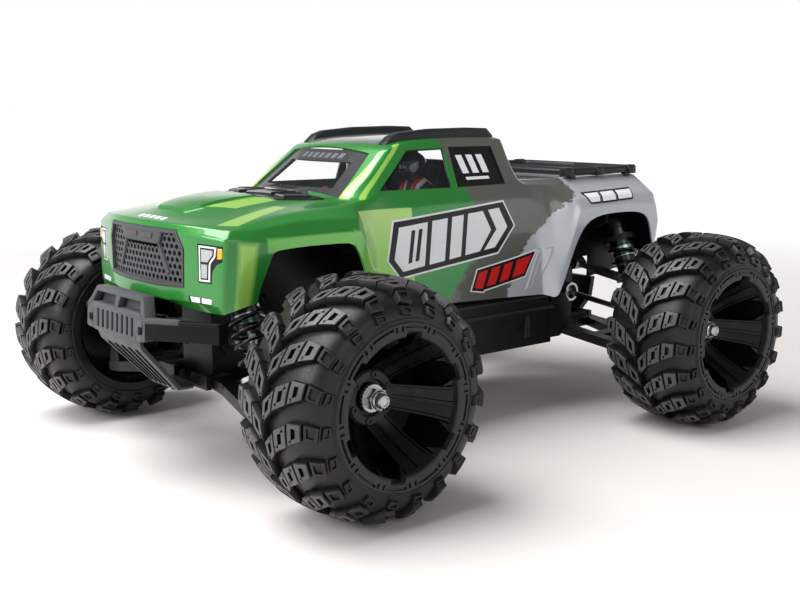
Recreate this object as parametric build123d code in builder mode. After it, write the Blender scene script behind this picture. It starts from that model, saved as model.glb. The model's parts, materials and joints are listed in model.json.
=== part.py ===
from build123d import *
import math
import os

# Radio-controlled monster truck, about 1/10 scale.
# Frame: millimetres, +X forwards, +Y to the truck's left, +Z up, origin on the ground
# under the centre between the four wheels.

# Driving dimensions
WHEELBASE = 290.0
TRACK = 286.0
TYRE_RADIUS = 65.0
TYRE_WIDTH = 66.0
RIM_RADIUS = 44.5
BARREL_RADIUS = 37.5
TUB_BOTTOM_Z = 50.0
TUB_WALL = 2.5
BODY_WALL = 1.5
PIN_RADIUS = 1.5
RUNNING_GAP = 0.05

AXLE_X = WHEELBASE / 2
WHEEL_Y = TRACK / 2
AXLE_Z = TYRE_RADIUS
TUB_FLOOR_Z = TUB_BOTTOM_Z + TUB_WALL

# Suspension points of the front left corner, as (y, z) unless named otherwise
ARM_INNER = (24.0, 54.0)
ARM_OUTER = (108.0, 43.0)
LINK_INNER = (34.0, 98.5)
LINK_OUTER = (104.0, 88.0)
SHAFT_INNER = (26.0, 76.0)
KINGPIN_Y = 118.0
SHOCK_X = 167.0
SHOCK_TOP = (48.0, 136.0)
SHOCK_BOTTOM = (84.0, 55.0)
ARM_BARREL_RADIUS = 4.5
LUG_HALF = 9.5
TIE_X = 121.0

# Drive line
GEAR_MODULE = 0.8
SPUR_TEETH = 54
PINION_TEETH = 15
GEAR_X = -75.0
GEAR_WIDTH = 5.0
BACKLASH = 0.16
DRIVE_Z = SHAFT_INNER[1]
PINION_Z = 71.5
CENTRE_SHAFT_RADIUS = 3.0

# Body
SILL_Z = 88.0
FENDER_HALF = 76.0
DOOR_HALF = 64.0
FENDER_TOP_Z = 150.0
NOSE_X = 193.0
TAIL_X = -187.0
BODY_POST_X = 150.0
BODY_POST_Y = 26.0
FRONT_POST_TOP = 148.0
REAR_POST_TOP = 149.0
BODY_POST_RADIUS = 3.0
FRONT_ARCH = [(80, 78), (86, 100), (98, 134), (156, 136), (170, 109), (204, 105), (204, 78)]
REAR_ARCH = [(-85, 78), (-89, 90), (-107, 138), (-168, 139), (-180, 119), (-200, 117), (-200, 78)]

os.makedirs("parts", exist_ok=True)


def write(part, name):
    """Label a finished piece and write its STEP file."""
    part.label = name
    export_step(part, f"parts/{name}.step")


def mirrored(part, *planes):
    """The part reflected in each plane in turn."""
    with BuildPart() as copy:
        add(part)
        for plane in planes:
            mirror(about=plane, mode=Mode.REPLACE)
    return copy.part


def write_pair(part, name, end):
    """The left piece and its mirror image on the right, at one end of the truck."""
    write(part, f"{name}_{end}_left" if end else f"{name}_left")
    write(mirrored(part, Plane.XZ), f"{name}_{end}_right" if end else f"{name}_right")


def write_four(part, name):
    """A front left piece at all four corners."""
    write_pair(part, name, "front")
    write_pair(mirrored(part, Plane.YZ), name, "rear")


def box_between(low, high, mode=Mode.ADD):
    """A block between two opposite corners."""
    size = [high[i] - low[i] for i in range(3)]
    centre = [(high[i] + low[i]) / 2 for i in range(3)]
    with Locations(tuple(centre)):
        Box(*size, mode=mode)


def along_x(x_from, x_to, yz, radius, mode=Mode.ADD):
    """A round bar or hole along X between two stations."""
    with BuildSketch(Plane.YZ.offset(x_from)) as disc:
        with Locations(yz):
            Circle(radius)
    extrude(disc.sketch, amount=x_to - x_from, mode=mode)


def along_y(y_from, y_to, xz, radius, mode=Mode.ADD):
    """A round bar or hole along Y between two stations."""
    with BuildSketch(Plane(origin=(xz[0], y_from, xz[1]), x_dir=(1, 0, 0), z_dir=(0, 1, 0))) as disc:
        Circle(radius)
    extrude(disc.sketch, amount=y_to - y_from, mode=mode)


def along_z(z_from, z_to, xy, radius, mode=Mode.ADD):
    """A round bar or hole along Z between two stations."""
    with BuildSketch(Plane.XY.offset(z_from)) as disc:
        with Locations(xy):
            Circle(radius)
    extrude(disc.sketch, amount=z_to - z_from, mode=mode)


def outline(plane, points, symmetric=False, inset=0.0):
    """A face on a plane from its corners, or from one half of them, drawn in by an inset."""
    with BuildSketch(plane) as face:
        with BuildLine():
            if symmetric:
                Polyline(*points)
                mirror(about=symmetric)
            else:
                Polyline(*points, close=True)
        make_face()
        if inset:
            offset(amount=-inset, kind=Kind.INTERSECTION)
    return face.sketch


def prism_x(points, x_from, x_to, symmetric=False, mode=Mode.ADD):
    """A prism along X from an outline in Y and Z; a symmetric one is given by its left half."""
    mirror_plane = Plane.YZ if symmetric else False
    extrude(outline(Plane.YZ.offset(x_from), points, mirror_plane), amount=x_to - x_from, mode=mode)


def prism_y(points, y_from, y_to, inset=0.0, mode=Mode.ADD):
    """A prism along Y from an outline in X and Z."""
    plane = Plane(origin=(0, y_from, 0), x_dir=(1, 0, 0), z_dir=(0, -1, 0))
    extrude(outline(plane, points, inset=inset), amount=y_from - y_to, mode=mode)


def prism_z(points, z_from, z_to, symmetric=True, inset=0.0, taper=0.0, mode=Mode.ADD):
    """A prism along Z from an outline in X and Y; a symmetric one is given by its left half."""
    mirror_plane = Plane.XZ if symmetric else False
    plan = outline(Plane.XY.offset(z_from), points, mirror_plane, inset)
    extrude(plan, amount=z_to - z_from, taper=taper, mode=mode)


# ---------------------------------------------------------------- frame

# Tub: flat floor, wide side pods and narrow ends that carry the gearboxes
POD_X = 84.0
POD_HALF = 62.0
END_HALF = 17.0
END_X = 172.0
POD_TOP_Z = 72.0
GUARD_TOP_Z = 86.0
GUARD_HALF = 66.0
HOLDER_X = (116.0, 168.6)
HOLDER_WIDTH = 3.4

with BuildPart() as chassis_tub:
    prism_z([(END_X, 0), (END_X, END_HALF), (112, END_HALF), (POD_X + 6, 40), (POD_X, POD_HALF),
             (-POD_X - 4, POD_HALF), (-POD_X - 12, 40), (-116, END_HALF), (-END_X, END_HALF), (-END_X, 0)],
            TUB_BOTTOM_Z, TUB_FLOOR_Z)
    prism_z([(POD_X, 0), (POD_X, POD_HALF), (-POD_X - 4, POD_HALF), (-POD_X - 4, 0)], TUB_FLOOR_Z, POD_TOP_Z)
    box_between((-POD_X - 1, -POD_HALF + 3, TUB_FLOOR_Z), (POD_X - 3, POD_HALF - 3, POD_TOP_Z), mode=Mode.SUBTRACT)
    # side guards: a lower band, and an upper band that stands proud of it
    for side in (-1, 1):
        prism_y([(72, 80), (66, GUARD_TOP_Z), (-78, GUARD_TOP_Z), (-88, 76), (-92, 62), (-84, 56), (60, 56), (76, 66)],
                side * (POD_HALF - 2), side * (GUARD_HALF - 2))
        prism_y([(70, 78), (64, GUARD_TOP_Z - 1), (-76, GUARD_TOP_Z - 1), (-86, 76), (-74, 72), (64, 72)],
                side * (GUARD_HALF - 2), side * GUARD_HALF)
    # end stops of the battery
    box_between((75, -58, TUB_BOTTOM_Z), (78, -10, 66))
    box_between((-65.5, -58, TUB_BOTTOM_Z), (-62.5, -10, 66))
    # bearing stand of the centre shaft
    box_between((-56, -4, TUB_BOTTOM_Z), (-52, 4, DRIVE_Z + 6))
    along_x(-57, -51, (0, DRIVE_Z), CENTRE_SHAFT_RADIUS + RUNNING_GAP, mode=Mode.SUBTRACT)
    # servo stands, either side of the centre shaft
    for side in (-1, 1):
        box_between((79, side * 8 - 2.5, TUB_BOTTOM_Z), (85, side * 8 + 2.5, 95))
    # hinge pins and their holders, outside the ends of the arms' barrels
    for end in (-1, 1):
        for side in (-1, 1):
            for holder_x in HOLDER_X:
                x_ends = sorted((end * holder_x, end * (holder_x + HOLDER_WIDTH)))
                y_ends = sorted((side * 10, side * 28))
                box_between((x_ends[0], y_ends[0], TUB_BOTTOM_Z), (x_ends[1], y_ends[1], 58.5))
            pin_ends = sorted((end * HOLDER_X[0], end * (HOLDER_X[1] + HOLDER_WIDTH)))
            along_x(pin_ends[0], pin_ends[1], (side * ARM_INNER[0], ARM_INNER[1]), PIN_RADIUS)
    # rear skid, an upturned tail plate
    prism_y([(-166, TUB_BOTTOM_Z), (-186, 66), (-189, 82), (-185, 82), (-182, 68), (-164, TUB_FLOOR_Z)], -16, 16)
write(chassis_tub.part, "chassis_tub")

# Gearboxes: housings with output bosses, a pinion nose and ears for the upper links
GEARBOX_HALF = 17.0
GEARBOX_X = (128.0, 161.0)
GEARBOX_TOP = 100.0
EAR_X = (137.0, 150.0)
EAR_THICK = 3.0
OUTPUT_RADIUS = 4.0

with BuildPart() as gearbox:
    prism_y([(GEARBOX_X[0], TUB_FLOOR_Z), (GEARBOX_X[0], 94), (134, GEARBOX_TOP), (156, GEARBOX_TOP),
             (GEARBOX_X[1], 94), (GEARBOX_X[1], TUB_FLOOR_Z)], -GEARBOX_HALF, GEARBOX_HALF)
    fillet(gearbox.edges().filter_by(Axis.Y).group_by(Axis.Z)[-1], 3)
    along_y(-GEARBOX_HALF - 2, GEARBOX_HALF + 2, (AXLE_X, DRIVE_Z), 11)
    along_x(125, 129, (0, DRIVE_Z), 5.3)
    # ears and pins for the upper links' inner balls
    for side in (-1, 1):
        for ear_x in EAR_X:
            prism_x([(side * 10, 92), (side * 10, GEARBOX_TOP + 3), (side * 34, 102.5), (side * 38, 98.5),
                     (side * 34, 94.5), (side * 16, 92)], ear_x, ear_x + EAR_THICK)
        along_x(EAR_X[0], EAR_X[1] + EAR_THICK, (side * LINK_INNER[0], LINK_INNER[1]), PIN_RADIUS)
    # bores of the output shaft and the pinion shaft
    along_y(-GEARBOX_HALF - 3, GEARBOX_HALF + 3, (AXLE_X, DRIVE_Z), OUTPUT_RADIUS + RUNNING_GAP, mode=Mode.SUBTRACT)
    along_x(120, 127, (0, DRIVE_Z), CENTRE_SHAFT_RADIUS + RUNNING_GAP, mode=Mode.SUBTRACT)

with BuildPart() as front_gearbox:
    add(gearbox.part)
    # shelf under the servo's front ear
    box_between((117, -9, 91), (130, 9, 95))
write(front_gearbox.part, "front_gearbox")
write(mirrored(gearbox.part, Plane.YZ), "rear_gearbox")

# Shock towers: upright plates with the shocks' upper pins, and two body posts each
TOWER_X = 154.5
TOWER_THICK = 3.5


def shock_tower(post_top):
    """The front tower; its posts reach up to post_top."""
    with BuildPart() as tower:
        prism_x([(0, GEARBOX_TOP), (20, GEARBOX_TOP), (26, 118), (53, 129), (54, 139), (48, 142), (30, 136), (16, 128),
                 (0, 128)], TOWER_X, TOWER_X + TOWER_THICK, symmetric=True)
        prism_x([(0, 108), (10, 108), (13, 114), (10, 120), (0, 120)], TOWER_X - 1, TOWER_X + TOWER_THICK + 1,
                symmetric=True, mode=Mode.SUBTRACT)
        for side in (-1, 1):
            along_x(TOWER_X - 1, TOWER_X + TOWER_THICK + 1, (side * 31, 127), 3.2, mode=Mode.SUBTRACT)
            along_x(TOWER_X + TOWER_THICK - 1, SHOCK_X + 5.5, (side * SHOCK_TOP[0], SHOCK_TOP[1]), PIN_RADIUS)
            box_between((145, side * BODY_POST_Y - 4, 118), (TOWER_X + 1, side * BODY_POST_Y + 4, 126))
            along_z(114, post_top, (BODY_POST_X - 1, side * BODY_POST_Y), BODY_POST_RADIUS)
    return tower.part


write(shock_tower(FRONT_POST_TOP), "front_shock_tower")
write(mirrored(shock_tower(REAR_POST_TOP), Plane.YZ), "rear_shock_tower")

# Front bumper: a bull bar with windows and slots, on brackets, with a ribbed skid plate below
BUMPER_X = 215.0
BUMPER_LOW_Z = 84.0
BUMPER_SLOTS = 8
SLOT_PITCH = 6.2
BRACKET_Y = 13.0

with BuildPart() as front_bumper:
    prism_z([(BUMPER_X, 0), (BUMPER_X, 30), (201, 52), (190, 74), (184, 74), (194, 50), (206, 27), (206, 0)],
            BUMPER_LOW_Z, 111)
    # the face leans back towards the top, and the wings are cut away below
    prism_y([(220, 92), (210, 114), (240, 114), (240, 92)], -90, 90, mode=Mode.SUBTRACT)
    prism_y([(180, 99), (198, 99), (203, 107), (203, 120), (180, 120)], -90, 90, mode=Mode.SUBTRACT)
    for side in (-1, 1):
        prism_x([(side * 34, 80), (side * 80, 80), (side * 80, 90), (side * 56, 86)], 180, 240, mode=Mode.SUBTRACT)
        prism_x([(side * 3, 101), (side * 3, 106), (side * 22, 106), (side * 27, 101)], 200, 240, mode=Mode.SUBTRACT)
    for slot in range(BUMPER_SLOTS):
        slot_y = (slot - (BUMPER_SLOTS - 1) / 2) * SLOT_PITCH
        box_between((200, slot_y - 1.3, 88), (232, slot_y + 1.3, 96.5), mode=Mode.SUBTRACT)
    # brackets back to the gearbox
    for side in (-1, 1):
        prism_y([(GEARBOX_X[1], 76), (GEARBOX_X[1], 90), (208, 90), (208, BUMPER_LOW_Z), (180, BUMPER_LOW_Z)],
                side * BRACKET_Y - 3, side * BRACKET_Y + 3)
    # skid plate and its ribs
    prism_y([(205, BUMPER_LOW_Z + 1), (212, BUMPER_LOW_Z + 1), (212, 80), (183, 49.5), (174, 49.5), (174, 52), (181, 52)],
            -24, 24)
    for rib_y in (-15, -5, 5, 15):
        prism_y([(211.5, 82), (214, 80), (185, 48.5), (175, 48.5), (175, 50.5), (183, 50.5)], rib_y - 1.5, rib_y + 1.5)
    box_between((172.2, -14, TUB_BOTTOM_Z), (176, 14, TUB_FLOOR_Z + 2))
write(front_bumper.part, "front_bumper")

# ---------------------------------------------------------------- electrics

BATTERY_Y = (-57.5, -11.0)
BATTERY_TOP_Z = 77.0
STRAP_WIDTH = 14.0

with BuildPart() as battery_pack:
    box_between((-62, BATTERY_Y[0], TUB_FLOOR_Z), (74.5, BATTERY_Y[1], BATTERY_TOP_Z))
    fillet(battery_pack.edges().filter_by(Axis.X), 5)
with BuildPart() as battery:
    add(battery_pack.part)
    # straps, each a band over the pack
    for strap_x in (-30, 34):
        box_between((strap_x, BATTERY_Y[0] - 1, 60), (strap_x + STRAP_WIDTH, BATTERY_Y[1] + 1, BATTERY_TOP_Z + 1))
write(battery.part, "battery")

PINION_RADIUS = GEAR_MODULE * PINION_TEETH / 2
SPUR_RADIUS = GEAR_MODULE * SPUR_TEETH / 2
PINION_Y = math.sqrt((PINION_RADIUS + SPUR_RADIUS) ** 2 - (DRIVE_Z - PINION_Z) ** 2)
MOTOR_SHAFT_RADIUS = 1.6
MOTOR_X = (-64.0, -10.0)
MOTOR_RADIUS = 17.5

with BuildPart() as motor:
    # can, end bell, terminals and the upright motor plate
    along_x(MOTOR_X[0], MOTOR_X[1], (PINION_Y, PINION_Z), MOTOR_RADIUS)
    fillet(motor.edges().filter_by(GeomType.CIRCLE).group_by(Axis.X)[-1], 2)
    along_x(MOTOR_X[1], MOTOR_X[1] + 6, (PINION_Y, PINION_Z), 12)
    for terminal_y in (-6, 6):
        along_x(MOTOR_X[1] + 6, MOTOR_X[1] + 11, (PINION_Y + terminal_y, PINION_Z + 3), 1.5)
    box_between((MOTOR_X[0] - 3, 7, TUB_FLOOR_Z), (MOTOR_X[0], 48, 92))
    along_x(MOTOR_X[0] - 4, MOTOR_X[0] + 12, (PINION_Y, PINION_Z), MOTOR_SHAFT_RADIUS + RUNNING_GAP,
            mode=Mode.SUBTRACT)
write(motor.part, "motor")

FINS = 9
with BuildPart() as speed_control:
    box_between((18, 10, TUB_FLOOR_Z), (66, 50, 77))
    for fin in range(FINS):
        fin_x = 22 + fin * 4.6
        box_between((fin_x, 14, 76), (fin_x + 2, 46, 84))
    for plug_y in (20, 30, 40):
        along_x(10, 19, (plug_y, 62), 3)
write(speed_control.part, "receiver_speed_control")

SERVO_X = 97.0
SAVER_Z = (81.6, 84.4)
SERVO_SHAFT_RADIUS = 2.5
with BuildPart() as steering_servo:
    box_between((86, -9.5, 86), (116.5, 9.5, 118))
    box_between((79, -9.5, 95), (124, 9.5, 97.5))
    along_z(84.8, 87, (SERVO_X, 0), 5)
    along_z(SAVER_Z[0] + 0.3, 86, (SERVO_X, 0), SERVO_SHAFT_RADIUS)
write(steering_servo.part, "steering_servo")

# ---------------------------------------------------------------- drive line


def gear_blank(teeth, centre, phase, bore=0.0):
    """Spur gear along X with trapezoid teeth; phase is the angle of one tooth's centre."""
    pitch = GEAR_MODULE * teeth / 2
    tip = pitch + 0.9 * GEAR_MODULE
    root = pitch - 1.25 * GEAR_MODULE
    half_tooth = (math.pi * GEAR_MODULE / 2 - BACKLASH) / 2
    flank = math.tan(math.radians(20))
    half_tip = half_tooth - 0.9 * GEAR_MODULE * flank
    half_root = half_tooth + 1.25 * GEAR_MODULE * flank * 0.6
    with BuildSketch(Plane.YZ.offset(GEAR_X)) as face:
        with Locations(centre):
            Circle(root)
            with PolarLocations(0, teeth, start_angle=math.degrees(phase)):
                Polygon((root - 0.3, -half_root), (tip, -half_tip), (tip, half_tip), (root - 0.3, half_root), align=None)
            if bore:
                Circle(bore, mode=Mode.SUBTRACT)
    return face.sketch


# a tooth of the pinion points at the spur's centre and meets one of the spur's tooth spaces
MESH_ANGLE = math.atan2(PINION_Z - DRIVE_Z, PINION_Y)
CENTRE_SHAFT_END = 126.5

with BuildPart() as spur_gear:
    extrude(gear_blank(SPUR_TEETH, (0, DRIVE_Z), MESH_ANGLE + math.pi / SPUR_TEETH), amount=GEAR_WIDTH)
    with BuildSketch(Plane.YZ.offset(GEAR_X)):
        with Locations((0, DRIVE_Z)):
            with PolarLocations(12.5, 6):
                Circle(4)
    extrude(amount=GEAR_WIDTH, mode=Mode.SUBTRACT)
    along_x(-CENTRE_SHAFT_END, CENTRE_SHAFT_END, (0, DRIVE_Z), CENTRE_SHAFT_RADIUS)
    along_x(GEAR_X - 5, GEAR_X + 1, (0, DRIVE_Z), 8)
    # couplings near the gearboxes
    for coupling_x in (-112, 58):
        along_x(coupling_x, coupling_x + 10, (0, DRIVE_Z), 4.2)
write(spur_gear.part, "spur_gear")

with BuildPart() as pinion_gear:
    extrude(gear_blank(PINION_TEETH, (PINION_Y, PINION_Z), MESH_ANGLE + math.pi), amount=GEAR_WIDTH)
    along_x(GEAR_X - 1, MOTOR_X[0] + 11, (PINION_Y, PINION_Z), MOTOR_SHAFT_RADIUS)
    along_x(GEAR_X + GEAR_WIDTH - 0.5, GEAR_X + GEAR_WIDTH + 2.6, (PINION_Y, PINION_Z), 4)
write(pinion_gear.part, "pinion_gear")

CUP_OUTER = 7.0
CUP_INNER = 5.3
with BuildPart() as diff_outputs:
    along_y(-22, 22, (AXLE_X, DRIVE_Z), OUTPUT_RADIUS)
    for side in (-1, 1):
        along_y(side * (GEARBOX_HALF + 2.5), side * 31, (AXLE_X, DRIVE_Z), CUP_OUTER)
        along_y(side * 21, side * 31, (AXLE_X, DRIVE_Z), CUP_INNER, mode=Mode.SUBTRACT)
write(diff_outputs.part, "front_diff_outputs")
write(mirrored(diff_outputs.part, Plane.YZ), "rear_diff_outputs")

BALL_RADIUS = 4.3
SHAFT_START = Vector(AXLE_X, *SHAFT_INNER)
SHAFT_END = Vector(AXLE_X, KINGPIN_Y, AXLE_Z)
with BuildPart() as half_shaft:
    with BuildSketch(Plane(origin=SHAFT_START, x_dir=(1, 0, 0), z_dir=SHAFT_END - SHAFT_START)):
        Circle(2)
    extrude(amount=(SHAFT_END - SHAFT_START).length)
    with Locations(SHAFT_START, SHAFT_END):
        Sphere(BALL_RADIUS)
write_four(half_shaft.part, "half_shaft")

# ---------------------------------------------------------------- suspension

ARM_LENGTH = math.hypot(ARM_OUTER[0] - ARM_INNER[0], ARM_OUTER[1] - ARM_INNER[1])
ARM_PLANE = Plane(origin=(0, *ARM_INNER), x_dir=(1, 0, 0),
                  z_dir=(0, ARM_INNER[1] - ARM_OUTER[1], ARM_OUTER[0] - ARM_INNER[0]))
ARM_HALF_THICK = 3.2

with BuildPart() as lower_arm:
    # plate with two windows, in the plane of its two hinge axes
    with BuildSketch(ARM_PLANE):
        with BuildLine():
            Polyline((121, 0), (168, 0), (168, 14), (176, 50), (176, 66), (163, 77), (163, ARM_LENGTH),
                     (127, ARM_LENGTH), (127, 77), close=True)
        make_face()
        with BuildLine():
            Polyline((131, 12), (158, 12), (154, 40), (133, 40), close=True)
        make_face(mode=Mode.SUBTRACT)
        with BuildLine():
            Polyline((134, 47), (153, 47), (151, 66), (136, 66), close=True)
        make_face(mode=Mode.SUBTRACT)
    extrude(amount=ARM_HALF_THICK, both=True)
    along_x(121, 168, ARM_INNER, ARM_BARREL_RADIUS)
    along_x(127, 163, ARM_OUTER, ARM_BARREL_RADIUS)
    # room for the carrier's lug between the fork's ears, then the pin through it
    box_between((AXLE_X - LUG_HALF - 0.5, 98, 34), (AXLE_X + LUG_HALF + 0.5, 120, 56), mode=Mode.SUBTRACT)
    along_x(133, 157, ARM_OUTER, PIN_RADIUS)
    along_x(120, 169, ARM_INNER, PIN_RADIUS + RUNNING_GAP, mode=Mode.SUBTRACT)
    # ears and screw for the shock's lower eyelet
    for ear_x in (SHOCK_X - 8, SHOCK_X + 5):
        prism_x([(76, 45), (79, 57), (84, 59.5), (88, 57), (92, 43)], ear_x, ear_x + 3)
    along_x(SHOCK_X - 8, SHOCK_X + 8, SHOCK_BOTTOM, PIN_RADIUS)
write_four(lower_arm.part, "lower_arm")

LINK_START = Vector(AXLE_X, *LINK_INNER)
LINK_END = Vector(AXLE_X, *LINK_OUTER)
LINK_LENGTH = (LINK_END - LINK_START).length
EYE_HALF = 4.0
EYE_BORE = 2.9
with BuildPart() as upper_link:
    link_direction = (LINK_END - LINK_START).normalized()
    with BuildSketch(Plane(origin=LINK_START, x_dir=(1, 0, 0), z_dir=link_direction)):
        Circle(2.2)
    extrude(amount=LINK_LENGTH)
    with BuildSketch(Plane(origin=LINK_START + link_direction * 22, x_dir=(1, 0, 0), z_dir=link_direction)):
        RegularPolygon(3.4, 6)
    extrude(amount=LINK_LENGTH - 44)
    for eye in (LINK_INNER, LINK_OUTER):
        along_x(AXLE_X - EYE_HALF, AXLE_X + EYE_HALF, eye, 4.6)
    for eye in (LINK_INNER, LINK_OUTER):
        along_x(AXLE_X - EYE_HALF - 1, AXLE_X + EYE_HALF + 1, eye, EYE_BORE, mode=Mode.SUBTRACT)
write_four(upper_link.part, "upper_link")

PLATE_Y = (100.0, 106.0)
HUB_INNER_Y = 112.0
HUB_OUTER_Y = 131.0
HUB_RADIUS = 11.5
CAVITY_RADIUS = 8.3
CAVITY_END_Y = 124.6
AXLE_RADIUS = 4.0

with BuildPart() as carrier_plate:
    # inner plate with its lower lug and upper ears, and a window for the half shaft
    prism_y([(137, 44), (153, 44), (158, 58), (158, 72), (153, 82.8), (137, 82.8), (132, 72), (132, 58)],
            PLATE_Y[0], PLATE_Y[1])
    along_x(AXLE_X - LUG_HALF, AXLE_X + LUG_HALF, ARM_OUTER, ARM_BARREL_RADIUS)
    for ear_x in EAR_X:
        prism_x([(100, 81), (100, 90), (102, 92), (106, 92), (108, 90), (108, 81)], ear_x, ear_x + EAR_THICK)
    along_x(EAR_X[0], EAR_X[1] + EAR_THICK, LINK_OUTER, PIN_RADIUS)
    along_y(PLATE_Y[0] - 1, PLATE_Y[1] + 1, (AXLE_X, 66.5), 9.4, mode=Mode.SUBTRACT)
    along_x(AXLE_X - 12, AXLE_X + 12, ARM_OUTER, PIN_RADIUS + RUNNING_GAP, mode=Mode.SUBTRACT)

KINGPIN_RADIUS = 2.0
with BuildPart() as caster_block:
    add(carrier_plate.part)
    for tab_low, tab_high in ((46.4, 51.0), (78.9, 82.8)):
        prism_z([(138, 105), (138, 118), (141, 123.5), (149, 123.5), (152, 118), (152, 105)], tab_low, tab_high,
                symmetric=False)
    along_x(AXLE_X - 12, AXLE_X + 12, ARM_OUTER, PIN_RADIUS + RUNNING_GAP, mode=Mode.SUBTRACT)
    along_z(50, 56, (AXLE_X, KINGPIN_Y), KINGPIN_RADIUS)
    along_z(74, 80, (AXLE_X, KINGPIN_Y), KINGPIN_RADIUS)
write_pair(caster_block.part, "caster_block", "")

STUD_RADIUS = 1.0
STEERING_ARM_Z = (55.0, 58.6)
with BuildPart() as steering_knuckle:
    along_z(51.6, 78.4, (AXLE_X, KINGPIN_Y), 5)
    along_y(HUB_INNER_Y, HUB_OUTER_Y, (AXLE_X, AXLE_Z), HUB_RADIUS)
    # steering arm behind the axle, with the tie rod's stud
    prism_z([(TIE_X - 4, KINGPIN_Y - 4), (TIE_X + 4, KINGPIN_Y - 5), (138, KINGPIN_Y - 4), (138, KINGPIN_Y + 8),
             (TIE_X + 2, KINGPIN_Y + 4), (TIE_X - 4, KINGPIN_Y + 4)], *STEERING_ARM_Z, symmetric=False)
    along_z(STEERING_ARM_Z[0] + 1, 69, (TIE_X, KINGPIN_Y), STUD_RADIUS)
    along_y(HUB_INNER_Y - 1, CAVITY_END_Y, (AXLE_X, AXLE_Z), CAVITY_RADIUS, mode=Mode.SUBTRACT)
    along_y(CAVITY_END_Y - 1, HUB_OUTER_Y + 1, (AXLE_X, AXLE_Z), AXLE_RADIUS + RUNNING_GAP, mode=Mode.SUBTRACT)
    along_z(51, 56.3, (AXLE_X, KINGPIN_Y), KINGPIN_RADIUS + RUNNING_GAP, mode=Mode.SUBTRACT)
    along_z(73.7, 79, (AXLE_X, KINGPIN_Y), KINGPIN_RADIUS + RUNNING_GAP, mode=Mode.SUBTRACT)
write_pair(steering_knuckle.part, "steering_knuckle", "")

with BuildPart() as hub_carrier:
    add(carrier_plate.part)
    along_y(PLATE_Y[1] - 1, HUB_OUTER_Y, (AXLE_X, AXLE_Z), HUB_RADIUS)
    along_y(PLATE_Y[0] - 1, CAVITY_END_Y, (AXLE_X, AXLE_Z), CAVITY_RADIUS, mode=Mode.SUBTRACT)
    along_y(CAVITY_END_Y - 1, HUB_OUTER_Y + 1, (AXLE_X, AXLE_Z), AXLE_RADIUS + RUNNING_GAP, mode=Mode.SUBTRACT)
    along_y(PLATE_Y[0] - 1, PLATE_Y[1] + 1, (AXLE_X, 66.5), 9.4, mode=Mode.SUBTRACT)
write_pair(mirrored(hub_carrier.part, Plane.YZ), "hub_carrier", "rear")

# Steering: the servo saver under the servo, and a tie rod on each side
with BuildPart() as servo_saver:
    prism_z([(SERVO_X - 8, 0), (SERVO_X - 6, 7), (SERVO_X + 6, 9), (TIE_X - 3, 14), (TIE_X + 3, 12), (TIE_X + 3, 0)],
            SAVER_Z[0], SAVER_Z[1])
    along_z(SAVER_Z[0] - 1, SAVER_Z[1] + 1, (SERVO_X, 0), SERVO_SHAFT_RADIUS + RUNNING_GAP, mode=Mode.SUBTRACT)
    along_z(SAVER_Z[0] - 1, SAVER_Z[1] + 1, (SERVO_X + 13, 0), 4, mode=Mode.SUBTRACT)
write(servo_saver.part, "servo_saver")

TIE_START = Vector(TIE_X, 24, 75)
TIE_END = Vector(TIE_X, KINGPIN_Y, 65.9)
TIE_LENGTH = (TIE_END - TIE_START).length
with BuildPart() as tie_rod:
    tie_direction = (TIE_END - TIE_START).normalized()
    with BuildSketch(Plane(origin=TIE_START, x_dir=(1, 0, 0), z_dir=tie_direction)):
        Circle(1.8)
    extrude(amount=TIE_LENGTH - 4.2)
    with BuildSketch(Plane(origin=TIE_START + tie_direction * 22, x_dir=(1, 0, 0), z_dir=tie_direction)):
        RegularPolygon(3.0, 6)
    extrude(amount=TIE_LENGTH - 50)
    along_z(TIE_START.Z - 2.6, TIE_START.Z + 2.6, (TIE_X, TIE_START.Y), 4.4)
    along_z(TIE_END.Z - 2.6, TIE_END.Z + 2.6, (TIE_X, KINGPIN_Y), 5.4)
    along_z(TIE_END.Z - 3, TIE_END.Z + 3, (TIE_X, KINGPIN_Y), 3.7, mode=Mode.SUBTRACT)
write_pair(tie_rod.part, "tie_rod", "")

# ---------------------------------------------------------------- shocks

SHOCK_TOP_POINT = Vector(SHOCK_X, *SHOCK_TOP)
SHOCK_BOTTOM_POINT = Vector(SHOCK_X, *SHOCK_BOTTOM)
SHOCK_UP = (SHOCK_TOP_POINT - SHOCK_BOTTOM_POINT).normalized()
SHOCK_AXIS = Axis(SHOCK_TOP_POINT, SHOCK_UP)
SHOCK_PROFILE = Plane(origin=SHOCK_TOP_POINT, x_dir=(1, 0, 0), z_dir=Vector(1, 0, 0).cross(SHOCK_UP))
ROD_RADIUS = 1.5
SPRING_TOP = -23.0
SPRING_BOTTOM = -74.5
SPRING_RADIUS = 9.9
SPRING_WIRE = 0.95
SPRING_TURNS = 6.5


def turned_on_shock(points, mode=Mode.ADD):
    """Turn an outline given as (radius, height from the top pin) about the shock's axis."""
    revolve(outline(SHOCK_PROFILE, points), axis=SHOCK_AXIS, mode=mode)


with BuildPart() as shock_body:
    # cap, cylinder, collar and seal cap, hollow for the piston
    turned_on_shock([(0, -4), (6, -4), (8.4, -6), (8.4, -13), (7.6, -13.5), (7.6, -19), (11.4, -19), (11.4, SPRING_TOP),
                     (7.6, SPRING_TOP), (7.6, -46), (6.6, -47), (6.6, -50), (0, -50)])
    along_x(SHOCK_X - 4.5, SHOCK_X + 4.5, SHOCK_TOP, 4.8)
    along_x(SHOCK_X - 6, SHOCK_X + 6, SHOCK_TOP, PIN_RADIUS + RUNNING_GAP, mode=Mode.SUBTRACT)
    turned_on_shock([(0, -9), (6, -9), (6, -46), (ROD_RADIUS + RUNNING_GAP, -46), (ROD_RADIUS + RUNNING_GAP, -51),
                     (0, -51)], mode=Mode.SUBTRACT)
write_four(shock_body.part, "shock_body")

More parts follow.
